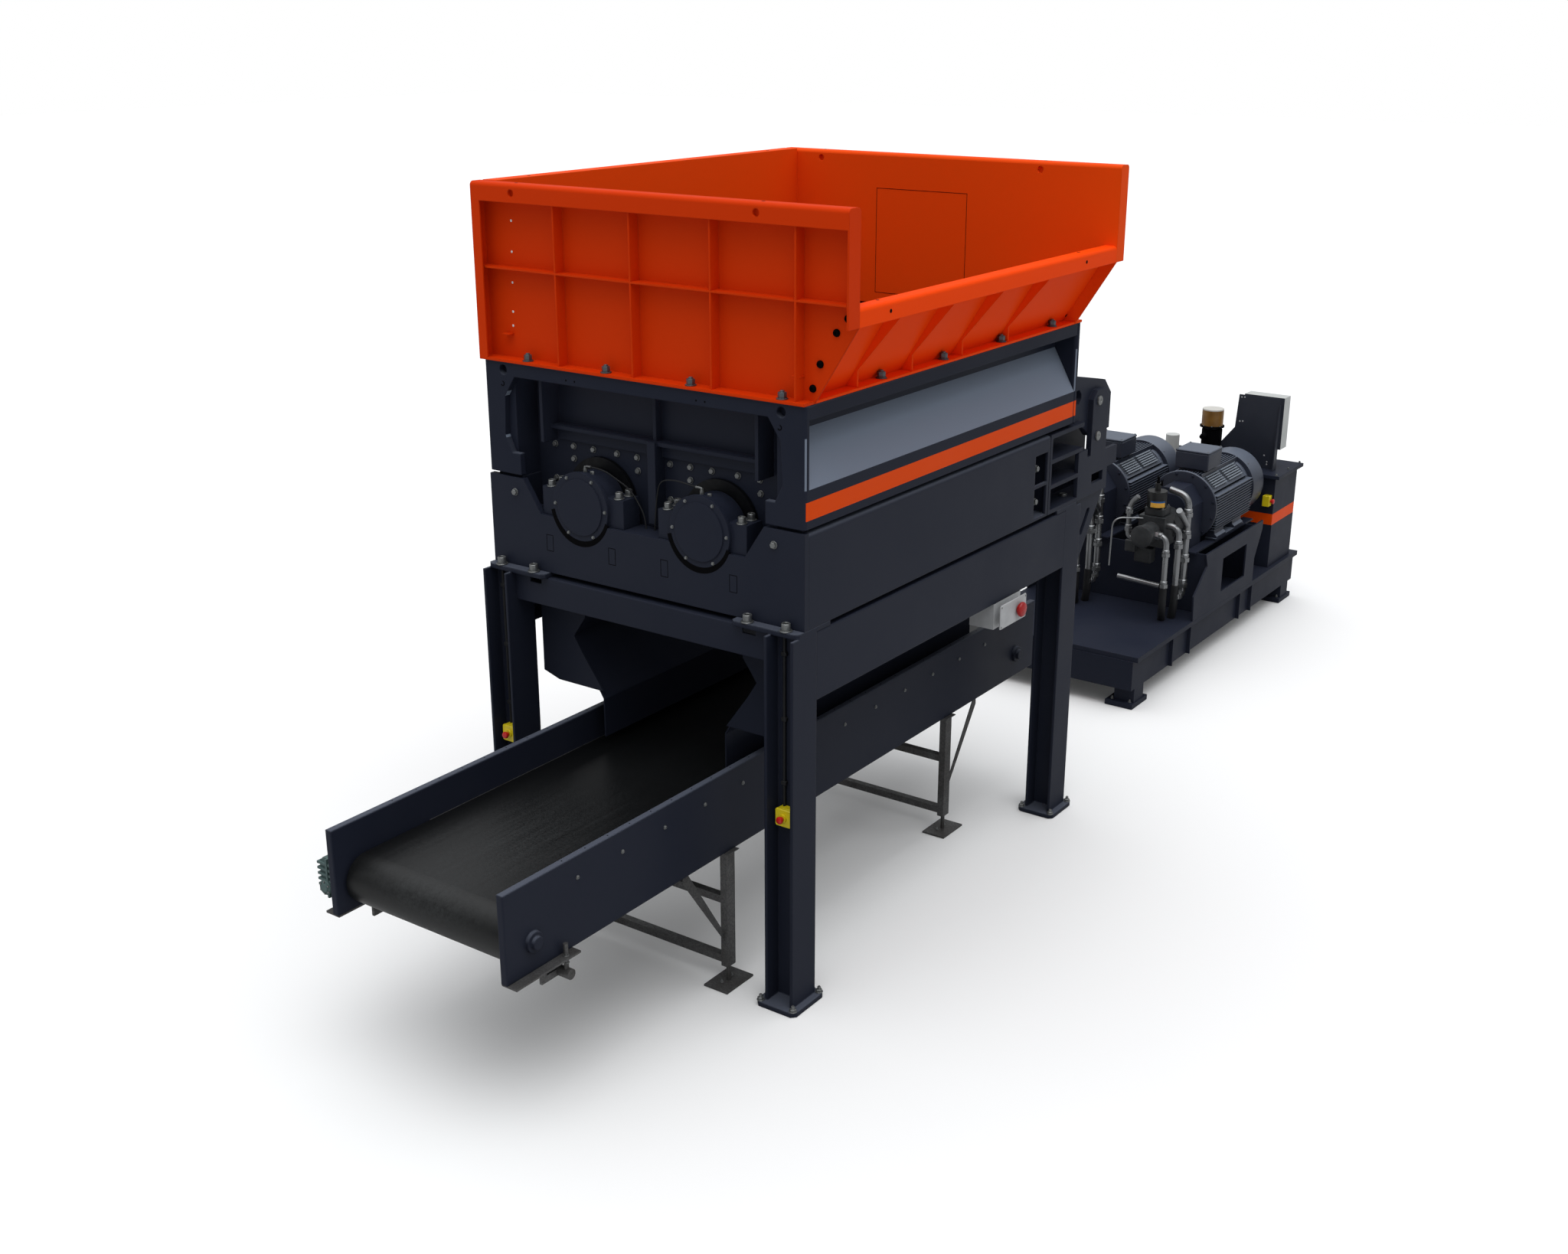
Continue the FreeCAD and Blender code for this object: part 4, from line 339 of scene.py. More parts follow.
def pressed(outline, axis, low, high, edge=0.002):
    """Points and faces of an outline carried from low to high along an axis. Both rims are drawn
    in by the edge: each corner moves inwards along the sum of its two sides' normals."""
    outline = np.array(outline, dtype=float)
    if axis == "y":
        outline = outline[:, ::-1]
    after = np.roll(outline, -1, 0)
    if (outline[:, 0] * after[:, 1] - after[:, 0] * outline[:, 1]).sum() < 0:
        outline = outline[::-1]
    side = np.roll(outline, -1, 0) - outline
    normal = np.stack([side[:, 1], -side[:, 0]], -1) / np.linalg.norm(side, axis=1)[:, None]
    last = np.roll(normal, 1, 0)
    inward = -(normal + last) / (1 + (normal * last).sum(1))[:, None]
    across, up, along = FRAMES[axis]
    rims = []
    for depth, share in ((low, edge), (low + edge, 0.0), (high - edge, 0.0), (high, edge)):
        flat = outline + inward * share
        rims.append(flat[:, :1] * across + flat[:, 1:] * up + depth * along)
    count = len(outline)
    i, j = np.meshgrid(np.arange(3), np.arange(count), indexing="ij")
    k = (j + 1) % count
    quads = np.stack([i * count + j, i * count + k, (i + 1) * count + k, (i + 1) * count + j],
                     -1).reshape(-1, 4)
    ends = [list(range(count))[::-1], list(range(3 * count, 4 * count))]
    return np.concatenate(rims), quads.tolist() + ends


def swept(line, radius, sides=14):
    """Points and faces of a round bar along a line of points: a circle at each point, square to
    the line there, its first spoke kept as near as possible to the one before."""
    line = np.array(line, dtype=float)
    ahead = np.gradient(line, axis=0)
    ahead /= np.linalg.norm(ahead, axis=1)[:, None]
    spokes = []
    spoke = np.cross(ahead[0], (0.3, 0.5, 0.8))
    for way in ahead:
        spoke = spoke - way * (spoke @ way)
        spoke = spoke / np.linalg.norm(spoke)
        spokes.append(spoke)
    spokes = np.array(spokes)
    other = np.cross(ahead, spokes)
    angle = 2 * np.pi * np.arange(sides) / sides
    wide = np.broadcast_to(np.asarray(radius, dtype=float), (len(line),))
    points = line[:, None] + wide[:, None, None] * (np.cos(angle)[:, None] * spokes[:, None]
                                                    + np.sin(angle)[:, None] * other[:, None])
    rows = len(line)
    i, j = np.meshgrid(np.arange(rows - 1), np.arange(sides), indexing="ij")
    k = (j + 1) % sides
    quads = np.stack([i * sides + j, i * sides + k, (i + 1) * sides + k, (i + 1) * sides + j],
                     -1).reshape(-1, 4)
    ends = [list(range(sides))[::-1], list(range((rows - 1) * sides, rows * sides))]
    return points.reshape(-1, 3), quads.tolist() + ends


def bent(corners, radius, steps=6):
    """Line of a bent pipe: at each corner a quadratic curve of the bend's size replaces the angle."""
    corners = np.array(corners, dtype=float)
    t = np.linspace(0, 1, steps + 1)[:, None]
    runs = [corners[:1]]
    for before, corner, after in zip(corners[:-2], corners[1:-1], corners[2:]):
        back = (before - corner) / np.linalg.norm(before - corner) * radius
        on = (after - corner) / np.linalg.norm(after - corner) * radius
        start, stop = corner + back, corner + on
        runs.append((1 - t) ** 2 * start + 2 * t * (1 - t) * corner + t ** 2 * stop)
    runs.append(corners[-1:])
    return np.concatenate(runs)


# Cable pipe in the web of each front leg, held by saddle clips.
# A thin black conduit runs from the emergency-stop box up to the cross beam.
black_rubber = coat("black_rubber", srgb(24, 25, 28), 0.6, grain=0.2, dust=0.04, level=0.3)
pipes = []
for side in (-1, 1):
    x = side * 1.093 - 0.028
    pipes.append(swept([(x, -1.690, 1.30), (x, -1.690, 1.70), (x, -1.690, 2.36)], 0.009, 10))
    pipes.append(swept([(x + 0.056, -1.690, 0.05), (x + 0.056, -1.690, 0.6), (x + 0.056, -1.690, 1.20)],
                       0.007, 10))
    for height in (1.45, 1.85, 2.25):
        pipes.append(pressed(rounded(0.017, 0.012, 0.005, (x, height)), "y", -1.702, -1.678, 0.002))
joined("leg_cable_pipes", pipes, black_rubber)


# Emergency-stop stations on the front legs: moulded yellow boxes with a red mushroom button.
# The lid stands proud of the base across a narrow joint, and a collar carries the button.
def moulded(name, colour, rough=0.36, grain=0.05):
    """Injection-moulded plastic: one colour with faint cloudiness, a fine etched grain."""
    material, tree, spot = begun(name)
    cloud = noise(tree, spot, 14.0, 4.0)
    deep = (*[c * 0.8 for c in colour[:3]], 1.0)
    tint = between(tree, reach(tree, cloud, 0.3, 0.75), colour, deep)
    bump = grained(tree, noise(tree, spot, 900.0, 2.0), grain, 0.0006)
    return finish(material, tree, tint, rough, bump)


stop_yellow = moulded("stop_yellow", srgb(236, 214, 28))
stop_red = moulded("stop_red", srgb(200, 22, 24), 0.3)
boxes, buttons = [], []
for side in (-1, 1):
    x, z = side * 1.093, 1.25
    boxes.append(pressed(rounded(0.053, 0.053, 0.010, (x, z)), "y", -1.722, -1.677, 0.002))
    boxes.append(pressed(rounded(0.055, 0.055, 0.012, (x, z)), "y", -1.747, -1.725, 0.004))
    boxes.append(turned([(0.028, 0), (0.028, 0.006), (0.026, 0.010)], [(x, -1.746, z)], "y", 24, sign=-1))
    buttons.append(turned([(0.014, 0), (0.014, 0.014), (0.020, 0.018), (0.0228, 0.024), (0.0228, 0.030),
                           (0.020, 0.0362), (0.012, 0.0392), (0.003, 0.040)], [(x, -1.752, z)], "y", 28,
                          sign=-1))
cases = joined("stop_cases", boxes, stop_yellow)
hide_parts("emergency_stops")
joined("stop_buttons", buttons, stop_red)


# Lower block: thick end plates bolted to the box sides, the bearing seats burnt out of them.
# Slotted tabs of the inner webs show as thin outlines on the front plate.
# Near-black finish: the real colour of dark screws, seams and fittings, and painted shade in holes,
# cut-outs and the bearing seat gap.
dark_and_painted_shade = coat("dark_and_painted_shade", srgb(5, 5, 7), 0.7, dust=0.0, level=0.05)
tabs = []
for x in (-0.713, -0.213, 0.190, 0.697):
    for dx, dz, wide, tall in ((-0.026, 0, 0.0018, 0.052), (0.026, 0, 0.0018, 0.052),
                               (0, -0.051, 0.026, 0.0018), (0, 0.051, 0.026, 0.0018)):
        tabs.append(pressed(rounded(wide, tall, 0.0008, (x + dx, 2.594 + dz), 1), "y", -1.6788, -1.677,
                            0.0003))
joined("tab_outlines", tabs, dark_and_painted_shade)
# Dark crescents round the lower side of each bearing: painted shade in the gap between the bearing and its
# burnt-out seat.
sweep = np.radians(np.linspace(-168, -20, 30))
gap_shades = []
for x in (-0.455, 0.455):
    outer = np.stack([x - 0.004 + 0.236 * np.cos(sweep), 2.866 + 0.252 * np.sin(sweep)], -1)
    inner = np.stack([x + 0.210 * np.cos(sweep[::-1]), 2.866 + 0.215 * np.sin(sweep[::-1])], -1)
    gap_shades.append(pressed(np.concatenate([outer, inner]), "y", -1.6788, -1.677, 0.0002))
joined("bearing_seat_gap_shades", gap_shades, dark_and_painted_shade)
hex_screws("end_plate_screws", [(-0.985, -1.678, 2.877), (0.985, -1.678, 2.877)], "y", 0.034, zinc_screw,
           sign=-1)


# Box side windows: the end plates' screws are reached through two windows at the rear.
# Each window shows one hexagon head on a thick washer.
for label, side in (("right", 1), ("left", -1)):
    spots = [(side * 1.150, 1.143, z) for z in (2.520, 2.752)]
    hex_screws("window_screws_" + label, spots, "x", 0.036, zinc_screw, sign=side)
    joined("window_sleeves_" + label,
           [turned([(0.024, -0.150), (0.024, 0.001)], spots, "x", 20, sign=side)], dark_coat)


# Bearing housings: covers held by six screws, and split ears clamped by two socket screws each.
# Grease nipples on top feed from thin black lines that come up between the housings.
turn = np.radians(np.arange(6) * 60)
rim = [(side * 0.455 + 0.197 * math.cos(a), -1.678, 2.86 + 0.197 * math.sin(a)) for side in (-1, 1)
       for a in turn]
hex_screws("cover_screws", rim, "y", 0.016, zinc_screw, sign=-1)
ears = [(side * 0.455 + dx, y, 2.944) for side in (-1, 1) for dx in (-0.268, 0.268)
        for y in (-1.625, -1.535)]
socket_screws("ear_screws", ears, "z", 0.046, zinc_screw)
far_ears = [(x, -0.060 - y, z) for x, y, z in ears]
socket_screws("far_ear_screws", far_ears, "z", 0.046, zinc_screw)
nipples = []
for x, way in ((-0.470, 1), (0.420, -1)):
    nipples.append(turned([(0.012, 0), (0.012, 0.022), (0.009, 0.026), (0.009, 0.036)], [(x, -1.60, 3.062)],
                          "z", 8))
    nipples.append(turned([(0.014, 0), (0.014, 0.018), (0.010, 0.022)], [(x + 0.055, -1.60, 3.055)], "z",
                          6))
    nipples.append(swept([(x - 0.004 * way, -1.60, 3.096), (x + 0.02 * way, -1.60, 3.100),
                          (x + 0.045 * way, -1.60, 3.100)],
                         0.007, 8))
lines = [swept(bent([(-0.43, -1.60, 3.10), (-0.34, -1.58, 3.090), (-0.16, -1.55, 2.99),
                     (-0.06, -1.55, 2.86), (-0.045, -1.55, 2.762)], 0.06, 8), 0.0045, 8),
         swept(bent([(0.38, -1.60, 3.10), (0.22, -1.60, 3.118), (0.09, -1.58, 3.09), (0.045, -1.56, 2.95),
                     (0.02, -1.55, 2.762)], 0.06, 8), 0.0045, 8)]
joined("grease_nipples", nipples, zinc_screw)
joined("grease_lines", lines, black_rubber)


# Chamber end walls: the wear plates inside are held by hexagon screws round each rotor.
wall_rows = [(-0.385, 0.300), (-0.233, 0.304), (-0.074, 0.304), (0.115, 0.304), (0.272, 0.304),
             (-0.234, 0.225), (0.276, 0.222), (-0.386, 0.084)]
front_screws = [(centre + dx, -1.450, 2.86 + dz) for centre in (-0.455, 0.455) for dx, dz in wall_rows
                if abs(centre + dx) > 0.06]
hex_screws("wall_screws", front_screws, "y", 0.030, zinc_screw, sign=-1)
hex_screws("far_wall_screws", [(-x, 1.390, z) for x, _, z in front_screws], "y", 0.030, zinc_screw)


# Rotors and cutting table: cast cutters on a heavy shaft, bare and scoured where material runs.
# The seal discs and journals outside the chamber keep their dark primer.
def scoured(name):
    """Worn steel inside the chamber, dark primer beyond it: the share follows the distance along
    the shaft; long fine scratches run round it."""
    material, tree, spot = begun(name)
    along = axis_of(tree, spot, "Y")
    inside = reach(tree, maths(tree, "ABSOLUTE", along), 1.300, 1.310, 1.0, 0.0)
    cloud = noise(tree, spot, 7.0, 6.0, 0.65)
    steel = between(tree, reach(tree, cloud, 0.35, 0.7), srgb(96, 92, 86), srgb(58, 50, 44))
    tint = between(tree, inside, srgb(11, 12, 15), steel)
    scratch = put(tree, "ShaderNodeMapping", Vector=spot, Scale=(30, 240, 30)).outputs[0]
    rough = reach(tree, noise(tree, scratch, 1.0, 3.0), 0.3, 0.7, 0.34, 0.56)
    metal = reach(tree, inside, 0.0, 1.0, 0.0, 0.85)
    bump = grained(tree, noise(tree, scratch, 1.0, 3.0), 0.2, 0.001)
    return finish(material, tree, tint, rough, bump, metal=metal, level=0.2)


dress(scoured("scoured_steel"), "rotor_left", "rotor_right", "cutting_table")


# Upper block: pressed side skins between the mouth frames, with a paint band along the ledge.
# The sloped face has a lighter, flatter grey than the rest of the block: a painted highlight for the
# overhead light on it.
def banded(name, base, band, slope_highlight):
    """The block's coat with a paint band and a painted highlight on the sloped face, masked by height and
    by which way the face looks; upward faces and rolled edges get a painted highlight too.
    """
    material, tree = new_tree(name)
    where = put(tree, "ShaderNodeTexCoord")
    spot = where.outputs["Object"]
    place = put(tree, "ShaderNodeSeparateXYZ", Vector=spot)
    facing = put(tree, "ShaderNodeSeparateXYZ", Vector=where.outputs["Normal"])
    outward = maths(tree, "ABSOLUTE", facing.outputs["X"])
    height = place.outputs["Z"]

    def inside(value, low, high):
        above = maths(tree, "GREATER_THAN", value, low)
        below = maths(tree, "LESS_THAN", value, high)
        return maths(tree, "MULTIPLY", above, below)

    outer = maths(tree, "ABSOLUTE", place.outputs["X"])
    ledge = maths(tree, "MULTIPLY", inside(height, 3.040, 3.146), inside(outer, 1.19, 1.3))
    strip = maths(tree, "MULTIPLY", ledge, inside(outward, 0.9, 1.1))
    # Painted highlight: the sloped face, lit from above, gets the lighter grey.
    tilt = maths(tree, "MULTIPLY", inside(height, 3.214, 3.505), inside(outward, 0.7, 0.97))
    cloud = noise(tree, spot, 1.6, 6.0, 0.62)
    dusty = (*[c + (0.4 - c) * 0.01 for c in base[:3]], 1.0)
    tint = between(tree, reach(tree, cloud, 0.38, 0.74), base, dusty)
    tint = between(tree, strip, tint, band)
    tint = between(tree, tilt, tint, slope_highlight)
    # Painted highlight on faces and rolled edges that look up, outside the band and the sloped face.
    upward = axis_of(tree, edge_normal(tree, 0.016), "Z")
    painted = maths(tree, "SUBTRACT", 1.0, strip)
    clear = maths(tree, "SUBTRACT", painted, tilt)
    top_highlight = maths(tree, "MULTIPLY", clear, reach(tree, upward, 0.2, 0.85, 0.0, 0.5))
    tint = between(tree, top_highlight, tint, (0.13, 0.145, 0.185, 1.0))
    gloss = reach(tree, cloud, 0.3, 0.7, 0.36, 0.5)
    bump = grained(tree, noise(tree, spot, 240.0, 2.0), 0.04, 0.002, 0.007)
    return finish(material, tree, tint, gloss, bump, level=0.06)


dress(banded("banded_coat", srgb(34, 38, 51), srgb(232, 76, 5), srgb(122, 132, 148)),
      "upper_side_right", "upper_side_left", "upper_frame_front", "upper_frame_rear")
# Small round and hook-shaped dark marks on the front frame: painted shade in small cut-outs.
marks = []
for x in (-0.526, -0.459, 0.449, 0.511):
    marks.append(turned([(0.0062, 0), (0.0058, 0.0008)], [(x, -1.6778, 3.627)], "y", 12, sign=-1))
for x in (-1.045, 1.023):
    angle = np.linspace(-2.6, 1.4, 12)
    hook = np.stack([x + 0.013 * np.cos(angle), np.full(12, -1.6775), 3.549 + 0.013 * np.sin(angle)], -1)
    marks.append(swept(hook, 0.0035, 6))
joined("small_cut_outs", marks, dark_and_painted_shade)


# Hopper: folded orange sheet walls with stiffening ribs, a screwed base flange and a rounded rim.
# The low wall on the loading side slopes outwards; corner screws join the end walls to it.
orange_coat = coat("orange_coat", srgb(214, 58, 7), 0.5, dust=0.0, level=0.04, scale=1.1)
# One orange paint in three copies: the outward-sloped wall and the inside walls get brighter orange as
# painted light, where more light falls on them than on the front wall.
dress(orange_coat, "hopper_wall_front")
dress(coat("orange_slope_lit", srgb(252, 74, 12), 0.5, dust=0.0, level=0.03, scale=1.1), "hopper_wall_right")
dress(coat("orange_inside_lit", srgb(242, 78, 14), 0.5, dust=0.0, level=0.04, scale=1.1), "hopper_wall_rear",
      "hopper_wall_left")


def dots(axis, spots, radius, sign=1.0, sides=16):
    """Shallow discs that stand for drilled holes, 0.6 mm proud of the face; a dark finish on them is
    painted shade in the hole.
    """
    return turned([(radius, -0.002), (radius, 0.0004), (radius * 0.9, 0.0006)], spots, axis, sides,
                  sign=sign)


flange_steel = coat("flange_steel", srgb(96, 102, 106), 0.36, grain=0.03, dust=0.05, metal=0.6, scale=8.0,
                    edge=0.002)
flange_x = (-0.855, -0.239, 0.387, 1.018)
flange_y = (-0.851, -0.149, 0.573, 1.277)
flange_nuts = [(x, y, 3.700) for x in flange_x for y in (-1.645, 1.595)]
flange_nuts += [(x, y, 3.700) for y in flange_y for x in (1.150, -1.168)]
washer = [(0.030, 0), (0.0335, 0.001), (0.0335, 0.006), (0.032, 0.007)]
nut = [(0.0235, 0.006), (0.0248, 0.009), (0.0248, 0.036), (0.0225, 0.040), (0.016, 0.040)]
joined("flange_nuts", [turned(washer, flange_nuts, "z", 24), turned(nut, flange_nuts, "z", 6, 0.5),
                       turned([(0.013, 0.038), (0.013, 0.047), (0.011, 0.049)], flange_nuts, "z", 14)],
       flange_steel)
corner_spots = [(1.404, -1.590, 4.164), (1.333, -1.590, 4.083), (1.230, -1.590, 3.905),
                (1.183, -1.590, 3.768)]
head = [(0.0215, 0), (0.0215, 0.006), (0.017, 0.014), (0.008, 0.018), (0.006, 0.012)]
corner_heads = [turned(head, corner_spots, "y", 22, sign=-1),
                turned(head, [(x, 1.540, z) for x, _, z in corner_spots], "y", 22),
                turned(head, [(1.16, 1.530, 3.893), (1.112, 1.530, 3.746)], "y", 22, sign=-1)]
joined("corner_screws", corner_heads, dark_and_painted_shade)
# Pale discs on the end walls: painted light, the brightness that shows through the holes.
column = [(-0.990, 4.514), (-0.997, 4.332), (-1.004, 4.150), (-1.011, 3.975), (-1.016, 3.890)]
joined("corner_holes", [dots("y", [(x, -1.590, z) for x, z in column], 0.008, -1),
                        dots("y", [(x, 1.540, z)
                                   for x, z in column], 0.008)],
       coat("hole_glow", srgb(236, 236, 236), 0.6))
# Dark discs on the rim and flanges: painted shade in the drilled holes.
holes = [dots("z", [(x, y, 4.740) for x in (-0.890, 0.890) for y in (-1.635, 1.585)], 0.011),
         dots("z", [(-1.160, y, 4.740) for y in (-1.24, 1.24)], 0.011),
         dots("x", [(1.470, y, 4.170) for y in (-1.274, 1.086)], 0.011),
         dots("z", [(1.400, y, 4.225) for y in (-1.30, 1.10)], 0.011)]
joined("hopper_holes", holes, dark_and_painted_shade)
seams = []
for low, high in (((-0.411, 3.760), (0.327, 3.763)), ((-0.411, 4.495), (0.327, 4.498)),
                  ((-0.411, 3.760), (-0.408, 4.498)), ((0.324, 3.760), (0.327, 4.498))):
    wide, tall = (high[0] - low[0]) / 2, (high[1] - low[1]) / 2
    seams.append(pressed(rounded(wide, tall, 0.001, (low[0] + wide, low[1] + tall), 1), "y", 1.5285, 1.5305,
                         0.0003))
joined("hatch_outline", seams, dark_and_painted_shade)
ledges = [pressed(rounded(0.030, 0.024, 0.008, (x, -1.612)), "z", z, z + 0.008, 0.001)
          for x, z in ((-1.040, 3.838), (1.100, 3.826))]
joined("corner_ledges", ledges, orange_coat)


# Discharge chute and conveyor: coated sheet panels, a black rubber belt between them.
# The belt is scuffed grey along its middle, paler towards the front as a painted sheen; screws hold its bed
# through both panels.
def scuffed_sheen_belt(name):
    """Rubber whose scuffs run along the belt: noise stretched along y, strongest mid-belt and near the
    front end, where the paler grey also stands for a painted sheen.
    """
    material, tree, spot = begun(name)
    stretched = put(tree, "ShaderNodeMapping", Vector=spot, Scale=(26, 1.2, 26)).outputs[0]
    across = axis_of(tree, spot, "X")
    middle = reach(tree, maths(tree, "ABSOLUTE", across), 0.10, 0.56, 1.0, 0.12)
    along = axis_of(tree, spot, "Y")
    # Painted sheen: the paler scuffs grow towards the front end, where the light shines on the belt.
    front = reach(tree, along, -2.9, -1.9, 1.0, 0.3)
    middle = maths(tree, "MULTIPLY", middle, front)
    grit = noise(tree, spot, 60.0, 4.0, 0.75)
    streak = reach(tree, between(tree, 0.6, noise(tree, stretched, 1.0, 5.0, 0.65), grit), 0.36, 0.66)
    share = maths(tree, "MULTIPLY", streak, middle)
    tint = between(tree, share, srgb(9, 10, 11), srgb(40, 42, 43))
    gloss = reach(tree, share, 0.0, 1.0, 0.36, 0.56)
    weave = grained(tree, noise(tree, spot, 130.0, 2.0), 0.12, 0.002)
    return finish(material, tree, tint, gloss, weave, level=0.35)


dress(scuffed_sheen_belt("scuffed_sheen_belt"), "conveyor_belt")
run = np.arange(13) * 0.372 - 3.056
panel_spots = [(side * 0.671, y, 1.300) for side in (-1, 1) for y in run]
screw = [(0.0125, 0), (0.0130, 0.0012), (0.0130, 0.0024), (0.0100, 0.0030), (0.0098, 0.0070),
         (0.0078, 0.0092), (0.0050, 0.0094), (0.0046, 0.0060)]
joined("panel_screws", [turned(screw, [s for s in panel_spots if s[0] * side > 0], "x", 16, sign=side)
                        for side in (-1, 1)], zinc_screw)
# Dark discs along the panels' top edges: painted shade in the holes.
edge_run = np.arange(28) * 0.186 - 3.15
joined("panel_edge_holes", [dots("z", [(side * 0.6485, y, 1.430) for side in (-1, 1)
                                       for y in edge_run], 0.0045, 1, 10)],
       dark_and_painted_shade)

# Conveyor supports and belt tensioners: hot-dip galvanised angle steel, screwed to the floor.
# The zinc has dull spangles; the threads of the tensioners are bright.
def galvanised(name):
    """Dull zinc: cells of slightly different grey, broken by broad cloudy staining."""
    material, tree, spot = begun(name)
    cells = put(tree, "ShaderNodeTexVoronoi", Vector=spot, Scale=110.0).outputs["Color"]
    grey = put(tree, "ShaderNodeSeparateColor", Color=cells).outputs[0]
    tint = between(tree, reach(tree, grey, 0.0, 1.0, 0.0, 0.7), srgb(104, 104, 104), srgb(78, 78, 79))
    tint = between(tree, reach(tree, noise(tree, spot, 5.0, 5.0), 0.45, 0.8), tint, srgb(66, 63, 60))
    gloss = reach(tree, grey, 0.0, 1.0, 0.42, 0.58)
    return finish(material, tree, tint, gloss, metal=0.6)


zinc_coat = galvanised("galvanised_steel")
dress(zinc_coat, "conveyor_supports", "conveyor_drums", "conveyor_bed", "belt_tensioners")
feet = [(side * 0.640, y + dy, 0.012) for side in (-1, 1) for y in (-1.71, 0.90) for dy in (-0.05, 0.05)]
hex_screws("support_anchors", feet, "z", 0.018, zinc_screw, stud=0.008)
nuts = [(side * 0.702, -3.206, z) for side in (-1, 1) for z in (0.905, 0.862)]
hex_screws("tension_nuts", nuts, "z", 0.026, zinc_screw)


# Gear motor: a cast gear housing with cooling ribs on the discharge end, in green-grey paint.
# A cover, its screws and a lifting eye stand on the casting.
cast_green = coat("cast_green", srgb(78, 99, 98), 0.5, grain=0.3, dust=0.05, scale=5.0)
dress(cast_green, "conveyor_gearmotor")
low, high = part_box("conveyor_gearmotor")
face_y = low.y
cover = [turned([(0.042, -0.010), (0.046, 0.004), (0.046, 0.014), (0.041, 0.020), (0.030, 0.020),
                 (0.026, 0.026), (0.012, 0.026)], [(-0.774, face_y + 0.014, 1.020)], "y", 36, sign=-1),
         turned([(0.010, 0), (0.010, 0.020), (0.007, 0.024)], [(-0.774, face_y + 0.12, high.z - 0.002)],
                "z", 12)]
ring = np.linspace(0, 2 * np.pi, 25)
eye = np.stack([-0.774 + 0.020 * np.cos(ring), np.full(25, face_y + 0.12),
                high.z + 0.040 + 0.020 * np.sin(ring)], -1)
cover.append(swept(eye, 0.006, 10))
joined("gear_cover", cover, cast_green)
turn = np.radians(np.arange(6) * 60 + 30)
hex_screws("gear_cover_screws",
           [(-0.774 + 0.036 * math.cos(a), face_y - 0.004, 1.020 + 0.036 * math.sin(a)) for a in turn],
           "y", 0.011, zinc_screw, sign=-1)


# Control box: a light grey enclosure with a lidded front and one large red palm button.
# The lid's rim and four corner screws frame the button.
pale_grey = moulded("pale_grey", srgb(188, 190, 192), 0.42)
dress(pale_grey, "control_box")
low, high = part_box("control_box")
face = high.x
across, tall = (high.y - low.y) / 2, (high.z - low.z) / 2
centre = ((high.y + low.y) / 2, (high.z + low.z) / 2)
joined("control_lid",
       [pressed(rounded(across - 0.004, tall - 0.004, 0.012, centre), "x", face - 0.006, face + 0.006,
                0.004)],
       pale_grey)
palm = [(0.034, 0), (0.034, 0.008), (0.050, 0.014), (0.052, 0.026), (0.047, 0.036), (0.028, 0.042),
        (0.004, 0.044)]
joined("palm_button", [turned(palm, [(face + 0.008, 0.807, centre[1])], "x", 32)],
       coat("palm_red", srgb(168, 12, 12), 0.3, grain=0.01, dust=0.0, level=0.4, scale=12.0, edge=0.001))
corners = [(face + 0.0055, centre[0] + a * (across - 0.020), centre[1] + b * (tall - 0.020))
           for a in (-1, 1) for b in (-1, 1)]
joined("lid_screws", [turned([(0.007, 0), (0.007, 0.001), (0.006, 0.002)], corners, "x", 14)], zinc_screw)


# Drive end: the two pins that hold each torque bracket's link to its arm.
# They are bare turned steel with a shallow centre in their face.
pin = [(0.034, 0), (0.034, 0.010), (0.030, 0.014), (0.012, 0.014), (0.010, 0.010)]
pins = []
for side in (-1, 1):
    spots = [(side * 1.193, 1.994, z) for z in (3.080, 2.824)]
    pins.append(turned(pin, spots, "x", 28, sign=side))
joined("link_pins", pins, zinc_screw)


# Power pack base and motor frame: folded plate in the same coat, with slotted feet.
# Anchors with hexagon nuts hold its feet to the floor.
def striped(name, base, band, low, high):
    """The coat with one painted band between two heights, all round."""
    material, tree, spot = begun(name)
    height = axis_of(tree, spot, "Z")
    above = maths(tree, "GREATER_THAN", height, low)
    below = maths(tree, "LESS_THAN", height, high)
    share = maths(tree, "MULTIPLY", above, below)
    cloud = noise(tree, spot, 1.6, 6.0, 0.62)
    dusty = (*[c + (0.4 - c) * 0.01 for c in base[:3]], 1.0)
    tint = between(tree, share, between(tree, reach(tree, cloud, 0.38, 0.74), base, dusty), band)
    bump = grained(tree, noise(tree, spot, 240.0, 2.0), 0.04, 0.002, 0.007)
    return finish(material, tree, tint, reach(tree, cloud, 0.3, 0.7, 0.36, 0.5), bump, level=0.08)


anchor = [(side * x, y, 0.045) for side in (-1, 1) for x in (0.765, 0.60) for y in (3.90, 4.11, 7.42, 7.63)]
hex_screws("pack_anchors", anchor, "z", 0.024, zinc_screw, stud=0.012)


# Tank, lid and stop station: a tall oil tank with an orange band and a screwed lid.
# Socket screws hold the lid; the stop station is screwed to the tank's front.
dress(striped("tank_coat", srgb(34, 38, 51), srgb(232, 76, 5), 0.92, 1.03), "pack_tank")
lid_x, lid_y = (-0.81, -0.40, 0.40, 0.81), (6.94, 7.26, 7.58)
lid_spots = [(x, y, 1.426) for x in lid_x for y in lid_y if abs(x) > 0.5 or y != 7.26]
socket_screws("lid_screws_tank", lid_spots, "z", 0.018, zinc_screw)
joined("tank_stop_box", [pressed(rounded(0.036, 0.054, 0.008, (0.742, 1.168)), "y", 6.896, 6.962, 0.004)],
       stop_yellow)
joined("tank_stop_button",
       [turned([(0.014, 0), (0.014, 0.012), (0.024, 0.018), (0.026, 0.030), (0.020, 0.038), (0.004, 0.042)],
                                   [(0.777, 6.928, 1.168)], "x", 28)], stop_red)


